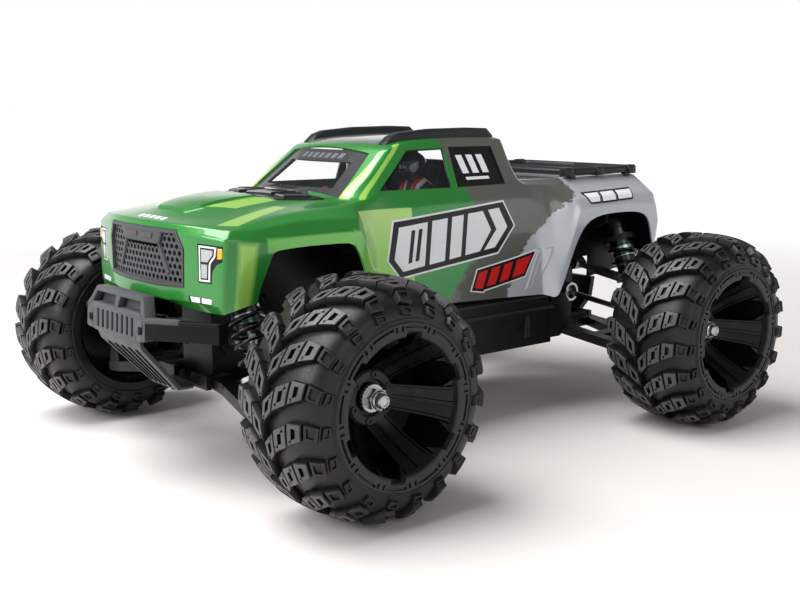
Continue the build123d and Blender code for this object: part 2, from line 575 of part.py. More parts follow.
with BuildPart() as shock_shaft:
    # piston, rod, spring perch and lower eyelet
    turned_on_shock([(0, -30), (5.7, -30), (5.7, -32.5), (ROD_RADIUS, -32.5), (ROD_RADIUS, SPRING_BOTTOM),
                     (11.4, SPRING_BOTTOM), (11.4, -77), (4, -79), (3.2, -84), (0, -84)])
    along_x(SHOCK_X - 4.5, SHOCK_X + 4.5, SHOCK_BOTTOM, 5.2)
    along_x(SHOCK_X - 6, SHOCK_X + 6, SHOCK_BOTTOM, 3.0, mode=Mode.SUBTRACT)
write_four(shock_shaft.part, "shock_shaft")

SPRING_HEIGHT = SPRING_TOP - SPRING_BOTTOM - 2 * SPRING_WIRE
with BuildPart() as shock_spring:
    with BuildLine():
        coil = Helix(pitch=SPRING_HEIGHT / SPRING_TURNS, height=SPRING_HEIGHT, radius=SPRING_RADIUS,
                     center=SHOCK_TOP_POINT + SHOCK_UP * (SPRING_BOTTOM + SPRING_WIRE), direction=SHOCK_UP)
    with BuildSketch(Plane(origin=coil @ 0, z_dir=coil % 0)):
        Circle(SPRING_WIRE)
    sweep(is_frenet=True)
write_four(shock_spring.part, "shock_spring")

# ---------------------------------------------------------------- wheels


def turned_on_axle(points, arc=360.0, start=0.0, mode=Mode.ADD):
    """Turn an outline given as (radius, y) about the front left wheel's axle."""
    profile = Plane(origin=(AXLE_X, 0, AXLE_Z), x_dir=(math.cos(start), 0, math.sin(start)),
                    z_dir=(-math.sin(start), 0, math.cos(start)))
    revolve(outline(profile, points), axis=Axis((AXLE_X, 0, AXLE_Z), (0, 1, 0)), revolution_arc=arc, mode=mode)


def hexagon_on_axle(y_from, y_to, radius):
    """A hexagonal prism about the front left wheel's axle."""
    with BuildSketch(Plane(origin=(AXLE_X, y_from, AXLE_Z), x_dir=(1, 0, 0), z_dir=(0, 1, 0))) as hexagon:
        RegularPolygon(radius, 6)
    extrude(hexagon.sketch, amount=y_to - y_from)


WHEEL_INNER_Y = WHEEL_Y - 30
WHEEL_OUTER_Y = WHEEL_Y + 33.5
SPOKES = 6
SPOKE_ARC = 30.0

with BuildPart() as rim:
    # barrel with an inner flange and the outer bead ring
    turned_on_axle([(BARREL_RADIUS, WHEEL_INNER_Y), (44, WHEEL_INNER_Y), (44, WHEEL_INNER_Y + 2.5),
                    (40.4, WHEEL_INNER_Y + 3.5), (40.4, WHEEL_OUTER_Y - 5), (RIM_RADIUS, WHEEL_OUTER_Y - 3.5),
                    (RIM_RADIUS, WHEEL_OUTER_Y - 1), (43, WHEEL_OUTER_Y), (37, WHEEL_OUTER_Y),
                    (36.5, WHEEL_OUTER_Y - 4), (BARREL_RADIUS, WHEEL_OUTER_Y - 5)])
    for spoke in range(SPOKES):
        turned_on_axle([(9, 138), (9, 147), (28, 151), (38, 163), (38, 156), (29, 146), (14, 138)],
                       arc=SPOKE_ARC, start=math.radians(spoke * 360 / SPOKES))
    turned_on_axle([(AXLE_RADIUS, 137.3), (12, 137.3), (12, 147), (10, 148.4), (AXLE_RADIUS, 148.4)])

with BuildPart() as axle:
    # stub axle with its drive cup, the hex adapter and the flanged nut
    turned_on_axle([(0, 122.6), (6.2, 122.6), (6.2, 113), (7.6, 113), (7.6, 124.2), (AXLE_RADIUS - 0.02, 124.2),
                    (AXLE_RADIUS - 0.02, 150), (3, 150.2), (3, 156), (2.2, 157), (0, 157)])
    hexagon_on_axle(131.6, 137.2, 6.9)
    turned_on_axle([(2, 148.5), (5.8, 148.5), (5.4, 149.8), (2, 149.8)])
    hexagon_on_axle(149.8, 154, 4.6)

with BuildPart() as wheel:
    add(rim.part)
    add(axle.part)
write_four(wheel.part, "wheel")

TYRE_INNER_Y = WHEEL_Y - TYRE_WIDTH / 2
TYRE_OUTER_Y = WHEEL_Y + TYRE_WIDTH / 2
with BuildPart() as tyre:
    # outer skin from the inner bead over the tread to the outer bead, then the hollow inside
    turned_on_axle([(40.5, WHEEL_INNER_Y + 3.6), (44.2, WHEEL_INNER_Y + 2.6), (45, WHEEL_INNER_Y - 1),
                    (52, TYRE_INNER_Y), (58, TYRE_INNER_Y + 1.5), (62.5, TYRE_INNER_Y + 6),
                    (TYRE_RADIUS, TYRE_INNER_Y + 16), (TYRE_RADIUS, TYRE_OUTER_Y - 16), (62.5, TYRE_OUTER_Y - 6),
                    (58, TYRE_OUTER_Y - 1.5), (52, TYRE_OUTER_Y), (45, WHEEL_OUTER_Y - 2),
                    (44.7, WHEEL_OUTER_Y - 3.6), (40.5, WHEEL_OUTER_Y - 5.1), (40.5, WHEEL_OUTER_Y - 11),
                    (46, TYRE_OUTER_Y - 10), (54, TYRE_OUTER_Y - 6), (59.5, TYRE_OUTER_Y - 12),
                    (60.5, TYRE_OUTER_Y - 20), (60.5, TYRE_INNER_Y + 20), (59.5, TYRE_INNER_Y + 12),
                    (54, TYRE_INNER_Y + 6), (46, TYRE_INNER_Y + 10), (40.5, WHEEL_INNER_Y + 9)])
write_four(tyre.part, "tyre")

# ---------------------------------------------------------------- body


def body_lower(inset, drop):
    """Doors and fenders, with chamfered shoulders; drop carries the block below the sill."""
    with BuildPart() as form:
        prism_z([(NOSE_X, 0), (NOSE_X - 1, 38), (184, 70), (177, FENDER_HALF), (94, FENDER_HALF), (84, DOOR_HALF),
                 (-82, DOOR_HALF), (-96, FENDER_HALF), (-180, FENDER_HALF), (TAIL_X, 66), (TAIL_X, 0)],
                SILL_Z - drop, FENDER_TOP_Z - inset, inset=inset)
        chamfer(form.faces().sort_by(Axis.Z)[-1].edges().filter_by(Axis.X), length=5, length2=7)
    return form.part


def body_upper(inset):
    """Hood, belt line and bed, narrowing towards the top."""
    with BuildPart() as form:
        prism_y([(NOSE_X - 1, 118), (NOSE_X - 0.5, 146), (188, 150.5), (150, 155.5), (95, 160.5), (-50, 162),
                 (-181, 164.5), (TAIL_X + 3, 150), (TAIL_X, 122)], -80, 80, inset)
        prism_z([(NOSE_X + 2, 0), (NOSE_X + 2, 46), (186, 56), (140, 62), (80, 68), (-60, 68), (-180, 68),
                 (TAIL_X - 6, 64), (TAIL_X - 6, 0)], 116, 180, inset=inset, taper=8, mode=Mode.INTERSECT)
    return form.part


def body_bulge(inset):
    """Raised centre of the hood."""
    with BuildPart() as form:
        prism_y([(178, 146), (172, 156), (160, 160), (112, 163), (98, 162), (94, 146)], -60, 60, inset)
        prism_z([(182, 0), (182, 22), (120, 40), (90, 39), (90, 0)], 140, 180, inset=inset, taper=6,
                mode=Mode.INTERSECT)
    return form.part


def body_cab(inset, drop):
    """Cab and roof, two stacked lofts between (front x, half-width), (back x, half-width), height."""
    belt = ((92, 53), (-55, 60), 158 - drop)
    drip = ((54, 42), (-50, 49), 188.5)
    roof = ((43, 34), (-45, 42), 195.5 - inset)
    with BuildPart() as form:
        for lower, upper in ((belt, drip), (drip, roof)):
            sections = []
            for front, back, height in (lower, upper):
                front_half = front[1] - 1.1 * inset
                back_half = back[1] - 1.1 * inset
                sections.append(outline(Plane.XY.offset(height), [
                    (front[0] - 1.4 * inset, front_half), (back[0] + inset, back_half),
                    (back[0] + inset, -back_half), (front[0] - 1.4 * inset, -front_half)]))
            loft(sections, ruled=True)
    return form.part


ROOF_RAIL_Y = (34.0, 42.0)
WINDSCREEN = [(45, 164), (39, 185.5), (-39, 185.5), (-45, 164)]
BACK_WINDOW = [(50, 168), (44, 185), (-44, 185), (-50, 168)]
SIDE_WINDOW = [(68, 163.5), (40, 186), (9, 186), (9, 163.5)]
QUARTER_WINDOW = [(4, 163.5), (4, 187), (-35, 187), (-40, 163.5)]
GRILLE = [(0, 146), (30, 146), (37, 138), (38, 117), (34, 114), (0, 114)]
SOCKET_RADIUS = 6.0
SOCKET_BORE = 3.5

with BuildPart() as window_zones:
    prism_x(WINDSCREEN, 53, 110)
    prism_x(BACK_WINDOW, -44, -80)
    prism_y(SIDE_WINDOW, -100, 100)
    prism_y(QUARTER_WINDOW, -100, 100)

with BuildPart() as body_hollow:
    add(body_lower(BODY_WALL, 20))
    add(body_upper(BODY_WALL))
    add(body_bulge(BODY_WALL))
    add(body_cab(BODY_WALL, 6))

with BuildPart() as body_shell:
    add(body_lower(0, 0))
    add(body_upper(0))
    add(body_bulge(0))
    add(body_cab(0, 0))
    add(body_hollow.part, mode=Mode.SUBTRACT)
    prism_y(FRONT_ARCH, -100, 100, mode=Mode.SUBTRACT)
    prism_y(REAR_ARCH, -100, 100, mode=Mode.SUBTRACT)
    add(window_zones.part, mode=Mode.SUBTRACT)
    prism_x(GRILLE, 180, 210, symmetric=True, mode=Mode.SUBTRACT)
    for side in (-1, 1):
        prism_y([(58, 187.5), (46, 199), (-42, 201.5), (-46, 199), (-46, 192.5), (40, 193)],
                side * ROOF_RAIL_Y[0], side * ROOF_RAIL_Y[1])
    # sockets that drop over the body posts
    for end, post_top, roof_z in ((1, FRONT_POST_TOP, 156.5), (-1, REAR_POST_TOP, 162.5)):
        for side in (-1, 1):
            socket_xy = (end * (BODY_POST_X - 1), side * BODY_POST_Y)
            along_z(post_top - 10, roof_z, socket_xy, SOCKET_RADIUS)
            along_z(post_top - 11, post_top + 0.5, socket_xy, SOCKET_BORE, mode=Mode.SUBTRACT)
write(body_shell.part, "body_shell")

with BuildPart() as windows:
    add(body_cab(0.3, 0))
    add(body_cab(1.2, 6), mode=Mode.SUBTRACT)
    add(window_zones.part, mode=Mode.INTERSECT)
write(windows.part, "windows")

with BuildPart() as grille:
    prism_x(GRILLE, 188.5, 193.5, symmetric=True)
write(grille.part, "grille")

# Cockpit: a tray and dashboard, with two seats and two helmeted figures
CREW = ((6.0, 22.0), (14.0, -24.0))
HELMET_RADIUS = 10.5
with BuildPart() as cockpit:
    box_between((-50, -54, 126), (82, 54, 129))
    box_between((58, -46, 128), (80, 46, 157))
    for crew_x, crew_y in CREW:
        box_between((crew_x - 12, crew_y - 15, 128), (crew_x + 30, crew_y + 15, 140))
        box_between((crew_x - 20, crew_y - 14, 128), (crew_x - 9, crew_y + 14, 178))
        box_between((crew_x - 10, crew_y - 12, 138), (crew_x + 8, crew_y + 12, 164))
        with Locations((crew_x + 1, crew_y, 173)):
            Sphere(HELMET_RADIUS)
write(cockpit.part, "cockpit")

# Bed rack: a U of tube along the bed's rim
RACK_RADIUS = 2.8
RACK_Z = 168.2
with BuildPart() as bed_rack:
    with BuildLine() as rack_path:
        FilletPolyline((-104, 56, RACK_Z), (-181, 56, RACK_Z), (-181, -56, RACK_Z), (-104, -56, RACK_Z), radius=7)
    with BuildSketch(Plane(origin=(-104, 56, RACK_Z), z_dir=(-1, 0, 0))):
        Circle(RACK_RADIUS)
    sweep()
    # feet on the sloping rim of the bed
    for foot_x, foot_z in ((-112, 163.3), (-172, 164.45)):
        for side in (-1, 1):
            box_between((foot_x - 3, side * 56 - 2, foot_z), (foot_x + 3, side * 56 + 2, RACK_Z))
write(bed_rack.part, "bed_rack")
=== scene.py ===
"""A radio-controlled monster truck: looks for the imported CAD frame. Sizes here are in millimetres."""

import json
import math

import bmesh
import bpy
from mathutils import Matrix, Vector
from mathutils.bvhtree import BVHTree


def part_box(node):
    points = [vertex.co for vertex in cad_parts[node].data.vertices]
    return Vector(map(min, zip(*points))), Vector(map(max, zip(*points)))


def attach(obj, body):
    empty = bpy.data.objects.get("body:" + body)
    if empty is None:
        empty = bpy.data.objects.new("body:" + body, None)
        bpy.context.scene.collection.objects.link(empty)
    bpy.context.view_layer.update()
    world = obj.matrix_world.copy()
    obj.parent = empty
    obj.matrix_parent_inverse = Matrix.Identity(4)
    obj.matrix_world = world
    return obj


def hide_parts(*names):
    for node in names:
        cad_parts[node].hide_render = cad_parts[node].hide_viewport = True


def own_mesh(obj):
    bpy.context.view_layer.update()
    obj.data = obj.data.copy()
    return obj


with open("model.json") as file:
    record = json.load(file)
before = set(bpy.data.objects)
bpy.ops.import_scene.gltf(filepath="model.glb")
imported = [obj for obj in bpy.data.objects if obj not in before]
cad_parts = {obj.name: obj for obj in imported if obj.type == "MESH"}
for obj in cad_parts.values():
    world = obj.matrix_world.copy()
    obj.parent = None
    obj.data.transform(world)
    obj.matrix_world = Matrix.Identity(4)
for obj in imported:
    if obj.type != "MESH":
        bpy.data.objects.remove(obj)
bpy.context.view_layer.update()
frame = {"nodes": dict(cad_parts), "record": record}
MM = 0.001
CORNERS = [(end, side) for end in ("front", "rear") for side in ("left", "right")]
BOTH_SIDES = (1, -1)
SHARPEST_MITRE = 0.35


# ---------------------------------------------------------------- outlines
def whole_turn(count):
    """Equal angles round a circle."""
    return [2 * math.pi * i / count for i in range(count)]


def hexagon(u, v, radius, start):
    turns = [math.radians(start + a) for a in range(0, 360, 60)]
    return [(u + radius * math.cos(a), v + radius * math.sin(a)) for a in turns]


def trapezium(low_half, low, high_half, high):
    """A symmetric outline with its level edges at two heights."""
    return [(-low_half, low), (low_half, low), (high_half, high), (-high_half, high)]


def flip_first(outline, turn):
    """The outline, or with turn -1 its mirror image in the first axis."""
    return [(turn * a, b) for a, b in outline]


def flip_second(outline, turn):
    """The same in the second axis."""
    return [(a, turn * b) for a, b in outline]


def both_halves(half):
    """An outline from its half where the first measure is above zero."""
    return half + flip_first(half, -1)[::-1]


def middle(outline):
    return [sum(p[k] for p in outline) / len(outline) for k in (0, 1)]


def winding(outline):
    """1 for an anticlockwise outline, -1 for a clockwise one."""
    area = sum(a[0] * b[1] - b[0] * a[1] for a, b in zip(outline[-1:] + outline[:-1], outline))
    return 1 if area > 0 else -1


def resampled(outline, step):
    """The outline with its long edges split, so that it can bend."""
    made = []
    for i, a in enumerate(outline):
        b = outline[(i + 1) % len(outline)]
        parts = max(1, math.ceil(math.dist(a, b) / step))
        made += [tuple(a[k] + (b[k] - a[k]) * j / parts for k in (0, 1)) for j in range(parts)]
    return made


def inset(outline, amount):
    """Moves an outline's edges inwards, or outwards by a negative amount."""
    turn = winding(outline)
    made = []
    for i, corner in enumerate(outline):
        a, b, c = Vector(outline[i - 1]), Vector(corner), Vector(outline[(i + 1) % len(outline)])
        before, after = (b - a).normalized(), (c - b).normalized()
        n1 = Vector((-before.y, before.x)) * turn
        n2 = Vector((-after.y, after.x)) * turn
        mid = (n1 + n2).normalized()
        made.append(tuple(b + mid * (amount / max(SHARPEST_MITRE, mid.dot(n1)))))
    return made


# ---------------------------------------------------------------- mesh tools
def add_object(name, data, place=(0, 0, 0)):
    obj = bpy.data.objects.new(name, data)
    obj.location = place
    bpy.context.scene.collection.objects.link(obj)
    return obj


def settle(obj, smooth=40.0):
    """Bakes an object's modifiers into its mesh."""
    bpy.context.view_layer.update()
    graph = bpy.context.evaluated_depsgraph_get()
    data = bpy.data.meshes.new_from_object(obj.evaluated_get(graph))
    data.name = obj.name
    obj.modifiers.clear()
    obj.data = data
    data.shade_smooth()
    data.set_sharp_from_angle(angle=math.radians(smooth))
    return obj


def cut_out(obj, cutter, smooth=35.0, solver="EXACT"):
    """Cuts one object with another, which is then removed."""
    tool = add_object("cutter", cutter)
    hole = obj.modifiers.new("hole", "BOOLEAN")
    hole.operation = "DIFFERENCE"
    hole.solver = solver
    hole.object = tool
    settle(obj, smooth)
    bpy.data.objects.remove(tool)


class Shape:
    """Gathers lofts, prisms and tubes, in millimetres, into one piece."""

    def __init__(self):
        self.points, self.faces, self.paints = [], [], []

    def add(self, points, faces, paint=0):
        start = len(self.points)
        self.points += [tuple(p) for p in points]
        self.faces += [tuple(start + i for i in f) for f in faces]
        self.paints += [paint] * len(faces)

    def loft(self, rings, paint=0, closed=True, caps=True, loop=False):
        """Joins rings of equal length. closed: each ring is an outline. loop: the last joins the first."""
        count = len(rings[0])
        faces = []
        for i in range(len(rings) if loop else len(rings) - 1):
            a, b = i * count, (i + 1) % len(rings) * count
            for j in range(count if closed else count - 1):
                k = (j + 1) % count
                faces.append((a + j, a + k, b + k, b + j))
        if caps and closed and not loop:
            last = (len(rings) - 1) * count
            faces.append(tuple(range(count)))
            faces.append(tuple(range(last, last + count)))
        self.add([p for ring in rings for p in ring], faces, paint)

    def prism(self, outline, low, high, plane="x", paint=0, taper=0.0):
        """Extrudes a flat outline along an axis. taper shrinks the far end towards its middle."""
        u, v = middle(outline)
        rings = []
        for t, keep in ((low, 1.0), (high, 1.0 - taper)):
            flat = [(u + (a - u) * keep, v + (b - v) * keep) for a, b in outline]
            rings.append([{"x": (t, a, b), "y": (a, t, b), "z": (a, b, t)}[plane] for a, b in flat])
        self.loft(rings, paint)

    def revolve(self, profile, segments=64, centre=(0, 0)):
        """Turns a closed profile of (radius, along) about a line along Y."""
        rings = []
        for i in range(segments):
            angle = math.radians(360.0 * i / segments)
            c, s = math.cos(angle), math.sin(angle)
            rings.append([(r * c + centre[0], along, r * s + centre[1]) for r, along in profile])
        self.loft(rings, loop=True)

    def tube(self, path, radius, sides=12, paint=0, loop=False):
        """A round bar along a path."""
        spots = [Vector(p) for p in path]
        rings, up = [], None
        for i, p in enumerate(spots):
            before = spots[i - 1] if (i > 0 or loop) else p
            after = spots[(i + 1) % len(spots)] if (i + 1 < len(spots) or loop) else p
            along = (after - before).normalized()
            if up is None:
                up = Vector((0, 0, 1)) if abs(along.z) < 0.9 else Vector((1, 0, 0))
            side = along.cross(up).normalized()
            up = side.cross(along).normalized()
            rings.append([p + side * math.cos(a) * radius + up * math.sin(a) * radius
                          for a in whole_turn(sides)])
        self.loft(rings, paint, loop=loop)

    def mesh(self, name, materials=(), smooth=40.0, merge=0.0):
        data = bpy.data.meshes.new(name)
        data.from_pydata([tuple(c * MM for c in p) for p in self.points], [], self.faces)
        for m in materials:
            data.materials.append(m)
        data.polygons.foreach_set("material_index", self.paints)
        work = bmesh.new()
        work.from_mesh(data)
        if merge:
            bmesh.ops.remove_doubles(work, verts=work.verts, dist=merge * MM)
        bmesh.ops.recalc_face_normals(work, faces=work.faces)
        work.to_mesh(data)
        work.free()
        data.shade_smooth()
        data.set_sharp_from_angle(angle=math.radians(smooth))
        return data

    def piece(self, name, materials, body, bevel=0.0, replaces=(), smooth=40.0):
        """The shape as an object that rides a body, with its edges rounded by bevel."""
        obj = add_object(name, self.mesh(name, materials, smooth))
        if bevel:
            cut = obj.modifiers.new("edge", "BEVEL")
            cut.width = bevel * MM
            cut.segments = 2
            cut.limit_method = "ANGLE"
            cut.angle_limit = math.radians(30)
            settle(obj, smooth)
        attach(obj, body)
        if replaces:
            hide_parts(*replaces)
        return obj


# ---------------------------------------------------------------- materials
def linear(rgb):
    """sRGB values 0 to 255 as Blender's linear colour."""
    return tuple(((c / 255 + 0.055) / 1.055) ** 2.4 if c > 10 else c / 255 / 12.92 for c in rgb) + (1.0,)


class Paint:
    """A material's node tree with a short way to add nodes."""

    def __init__(self, name, **settings):
        self.material = bpy.data.materials.new(name)
        self.material.use_nodes = True
        self.nodes, self.links = self.material.node_tree.nodes, self.material.node_tree.links
        self.shader = self.nodes["Principled BSDF"]
        self.put(self.shader, settings)
        self.place = self.add("ShaderNodeTexCoord").outputs["Object"]

    def put(self, node, inputs):
        for key, value in inputs.items():
            socket = node.inputs[key.replace("_", " ") if isinstance(key, str) else key]
            if isinstance(value, bpy.types.NodeSocket):
                self.links.new(value, socket)
            else:
                socket.default_value = value

    def add(self, kind, inputs=None, **properties):
        node = self.nodes.new(kind)
        for key, value in properties.items():
            setattr(node, key, value)
        self.put(node, inputs or {})
        return node

    def math(self, operation, a, b=0.0, clamp=False):
        return self.add("ShaderNodeMath", {0: a, 1: b}, operation=operation, use_clamp=clamp).outputs[0]

    def noise(self, scale, detail=4.0, rough=0.55, stretch=None):
        """Noise from 0 to 1, with its scale per metre."""
        where = self.place
        if stretch:
            where = self.add("ShaderNodeVectorMath", {0: where, 1: stretch}, operation="MULTIPLY").outputs[0]
        inputs = {"Vector": where, "Scale": scale, "Detail": detail, "Roughness": rough}
        return self.add("ShaderNodeTexNoise", inputs).outputs["Fac"]

    def ramp(self, value, low, high, from_low=0.3, from_high=0.7):
        inputs = {0: value, 1: from_low, 2: from_high, 3: low, 4: high}
        return self.add("ShaderNodeMapRange", inputs).outputs[0]

    def mix(self, factor, a, b):
        return self.add("ShaderNodeMix", {0: factor, 6: a, 7: b}, data_type="RGBA").outputs[2]

    def set(self, **sockets):
        self.put(self.shader, sockets)

    def bump(self, height, strength, distance):
        inputs = {"Height": height, "Strength": strength, "Distance": distance * MM}
        self.set(Normal=self.add("ShaderNodeBump", inputs).outputs[0])

    def axes(self):
        """The place along, across and up, in millimetres."""
        scaled = self.add("ShaderNodeVectorMath", {0: self.place, 3: 1 / MM}, operation="SCALE").outputs[0]
        return self.add("ShaderNodeSeparateXYZ", {0: scaled}).outputs

    def polygon(self, u, v, outline, soft=0.25, warp=None):
        """1 inside a convex outline in the plane of u and v, which are in millimetres."""
        turn = winding(outline)
        inside = None
        for i, (x1, y1) in enumerate(outline):
            x0, y0 = outline[i - 1]
            length = math.dist((x0, y0), (x1, y1))
            nu, nv = -(y1 - y0) / length * turn, (x1 - x0) / length * turn
            reach = self.math("ADD", self.math("MULTIPLY", u, nu), self.math("MULTIPLY", v, nv))
            reach = self.math("SUBTRACT", reach, nu * x0 + nv * y0)
            inside = reach if inside is None else self.math("MINIMUM", inside, reach)
        if warp is not None:
            inside = self.math("ADD", inside, warp)
        return self.math("DIVIDE", self.math("ADD", inside, soft), 2 * soft, clamp=True)

    def union(self, u, v, outlines, soft=0.25, warp=None):
        """1 inside any of several convex outlines."""
        made = self.polygon(u, v, outlines[0], soft, warp)
        for outline in outlines[1:]:
            made = self.math("MAXIMUM", made, self.polygon(u, v, outline, soft, warp))
        return made


def moulded(name, rgb, rough=0.5, grain=1800, depth=0.06, spread=8, gloss=0.3):
    """Injection-moulded plastic: fine grain, with patches of slightly different gloss and shade."""
    p = Paint(name, IOR=1.46, Specular_IOR_Level=gloss)
    light = tuple(min(255, c + spread) for c in rgb)
    p.set(Base_Color=p.mix(p.noise(60, 3), linear(rgb), linear(light)),
          Roughness=p.ramp(p.noise(140, 5), rough - 0.07, rough + 0.07))
    p.bump(p.noise(grain, 2), 0.35, depth)
    return p.material


def metal(name, rgb, rough=0.28):
    """Turned or drawn metal, with fine lines along the part."""
    p = Paint(name, Metallic=1.0)
    lines = p.noise(260, 3, stretch=(1, 60, 60))
    dark = tuple(int(c * 0.82) for c in rgb)
    p.set(Base_Color=p.mix(lines, linear(dark), linear(rgb)),
          Roughness=p.ramp(lines, rough - 0.08, rough + 0.1))
    p.bump(lines, 0.15, 0.02)
    return p.material


def rubber(name, rgb, rough, worn):
    """Tyre rubber with mould grain, dust in patches and a sheen."""
    p = Paint(name, IOR=1.5, Specular_IOR_Level=0.42)
    dust = p.ramp(p.noise(45, 6, 0.6), 0.0, 1.0, 0.35, 0.75)
    pale = tuple(min(255, c + worn) for c in rgb)
    p.set(Base_Color=p.mix(dust, linear(rgb), linear(pale)),
          Roughness=p.ramp(p.noise(700, 3), rough - 0.08, rough + 0.1))
    p.bump(p.noise(1600, 2), 0.3, 0.05)
    return p.material


def enamel(name, rgb, rough=0.3, coat=0.5):
    """Printed film or gloss paint, slightly uneven."""
    p = Paint(name, Coat_Weight=coat, Coat_Roughness=0.08, Specular_IOR_Level=0.3)
    dark = tuple(int(c * 0.93) for c in rgb)
    p.set(Base_Color=p.mix(p.noise(35, 3), linear(dark), linear(rgb)),
          Roughness=p.ramp(p.noise(220, 4), rough - 0.04, rough + 0.06))
    return p.material


def clear_glass():
    p = Paint("window_clear", IOR=1.35, Roughness=0.04, Specular_IOR_Level=0.3)
    haze = p.noise(24, 3)
    tint = p.mix(haze, linear((120, 126, 130)), linear((150, 156, 160)))
    p.set(Base_Color=tint, Alpha=p.ramp(haze, 0.03, 0.07))
    return p.material


RUBBER = rubber("tyre_rubber", (6, 6, 6), 0.4, 6)
WORN = rubber("tread_top_rubber", (58, 58, 59), 0.38, 20)
LUG_RUBBER = rubber("side_lug_rubber", (18, 18, 19), 0.4, 10)
WHEEL_PLASTIC = moulded("wheel_nylon", (8, 8, 9), 0.3, spread=4)
RING_PLASTIC = moulded("bead_ring_nylon", (40, 40, 42), 0.42)
# Lighter than the chassis plastic, so that the guard ledges show a painted highlight.
LEDGE_HIGHLIGHT_PLASTIC = moulded("guard_nylon_painted_highlight", (34, 34, 35), 0.35)
CHASSIS = moulded("chassis_nylon", (13, 13, 14), 0.42)
ARM = moulded("arm_nylon", (10, 10, 11), 0.38)
BUMPER = moulded("bumper_nylon", (68, 69, 72), 0.42)
GRILLE = moulded("grille_nylon", (60, 60, 63), 0.4, gloss=0.45)
BLACK = moulded("black_nylon", (5, 5, 6), 0.4, spread=4, gloss=0.2)
RACK = moulded("rack_nylon", (26, 27, 28), 0.38)
TRIM = moulded("gloss_black_trim", (24, 24, 26), 0.22, gloss=0.5)
BODY_INSIDE = moulded("shell_inside_black", (12, 12, 13), 0.6)
COCKPIT_DARK = moulded("cockpit_black", (12, 12, 13))
FABRIC = moulded("race_suit", (30, 30, 33), 0.75, grain=4800, depth=0.1)
DECAL_WHITE = enamel("printed_white", (226, 229, 232), 0.35, 0.15)
DECAL_BLACK = enamel("printed_black", (9, 9, 10), 0.3, 0.15)
DECAL_RED = enamel("printed_red", (196, 24, 22), 0.3, 0.3)
DECAL_GREY = enamel("printed_grey", (100, 102, 105))
AMBER = enamel("amber_lens", (240, 168, 30), 0.15, 0.8)
LAMP_CELL = enamel("lamp_cell", (170, 174, 178), 0.15, 0.8)
LAMP_WHITE = enamel("lamp_guide", (244, 246, 248), 0.1, 0.9)
SCREEN_BAND = enamel("screen_band", (52, 53, 55), 0.14, 0.9)
HELMET_SHELL = enamel("helmet_shell", (26, 26, 28), 0.18, 0.9)
VISOR = enamel("helmet_visor", (60, 66, 72), 0.08, 1.0)
STEEL = metal("turned_steel", (205, 205, 208))
DARK_STEEL = metal("dark_steel", (120, 122, 126), 0.35)
SPRING = metal("black_spring", (64, 64, 68), 0.22)
ANODISED = metal("dark_anodised", (70, 78, 76), 0.25)
GREEN_RING = metal("green_anodised", (62, 92, 82), 0.24)
BATTERY_WRAP = enamel("battery_wrap", (30, 90, 62))
GLASS = clear_glass()


# ---------------------------------------------------------------- tyre
TYRE_RADIUS, BEAD_RADIUS, HALF_WIDTH = 65.0, 44.3, 32.6
LUG_HEIGHT = 4.6
PITCHES = 19
ROUNDNESS = 2 / 2.7
# The blocks of one bar of the V from the middle out, each with its outline as (round, across),
# height, rim width, depth of the sunk middle and paint of the rim.
BAR = [
    ([(-3.4, 0.5), (4.0, 7.5), (15.8, 8.4), (8.8, 0.8)], LUG_HEIGHT, 2.2, 1.9, 1),
    ([(4.6, 8.1), (9.2, 17.0), (21.6, 17.6), (17.0, 9.0)], LUG_HEIGHT, 2.9, 1.9, 1),
    ([(9.8, 17.7), (13.6, 25.2), (22.6, 25.6), (22.4, 18.3)], LUG_HEIGHT, 2.5, 1.9, 1),
    ([(14.2, 25.8), (12.2, 31.6), (20.8, 32.8), (22.8, 26.2)], 3.4, 1.5, 1.2, 2),
    ([(13.0, 33.2), (12.6, 37.2), (20.0, 38.2), (20.4, 34.4)], 2.0, 1.0, 1.0, 2),
]


def carcass(grow, ends, steps):
    """The tyre's outline from bead to bead as (radius, across), a rounded box."""
    made = []
    rise = TYRE_RADIUS - LUG_HEIGHT - BEAD_RADIUS
    for i in range(steps + 1):
        turn = math.radians(-ends + 2 * ends * i / steps)
        c, s = math.cos(turn), math.sin(turn)
        radius = BEAD_RADIUS + (rise + grow) * math.copysign(abs(c) ** ROUNDNESS, c)
        made.append((radius, (HALF_WIDTH + grow) * math.copysign(abs(s) ** ROUNDNESS, s)))
    return made


def tread_map():
    """A function from (round, across, height) in millimetres on the tread to a point."""
    line = carcass(0.0, 90.0, 240)
    centre = len(line) // 2
    run = [0.0]
    for i in range(centre, len(line) - 1):
        run.append(run[-1] + math.dist(line[i], line[i + 1]))

    def at(round_mm, across, height):
        side = 1 if across >= 0 else -1
        want = min(abs(across), run[-1] - 0.01)
        i = next(k for k in range(len(run) - 1) if run[k + 1] >= want)
        a, b = line[centre + i], line[centre + i + 1]
        t = (want - run[i]) / (run[i + 1] - run[i])
        radius, y = a[0] + (b[0] - a[0]) * t, a[1] + (b[1] - a[1]) * t
        slope = Vector((b[0] - a[0], b[1] - a[1])).normalized()
        radius += slope.y * height
        y -= slope.x * height
        angle = round_mm / TYRE_RADIUS
        return (radius * math.cos(angle), side * y, radius * math.sin(angle))

    return at


def tread_block(shape, at, side, shift, outline, height, rim, depth, top_paint):
    """A block with a raised rim and a sunk middle, bent round the carcass."""
    outer = resampled(outline, 4.0)

    def ring(points, level):
        return [at(a + shift, side * b, level) for a, b in points]

    crown = ring(inset(outer, 0.35), height)
    inner = ring(inset(outer, rim), height)
    pit = ring(inset(outer, rim + 0.3), height - depth)
    shape.loft([ring(inset(outer, -0.5), -0.6), ring(outer, height - 0.5), crown], caps=False)
    shape.loft([crown, inner], top_paint, caps=False)
    shape.loft([inner, pit], caps=False)
    shape.add(pit, [tuple(range(len(pit)))])


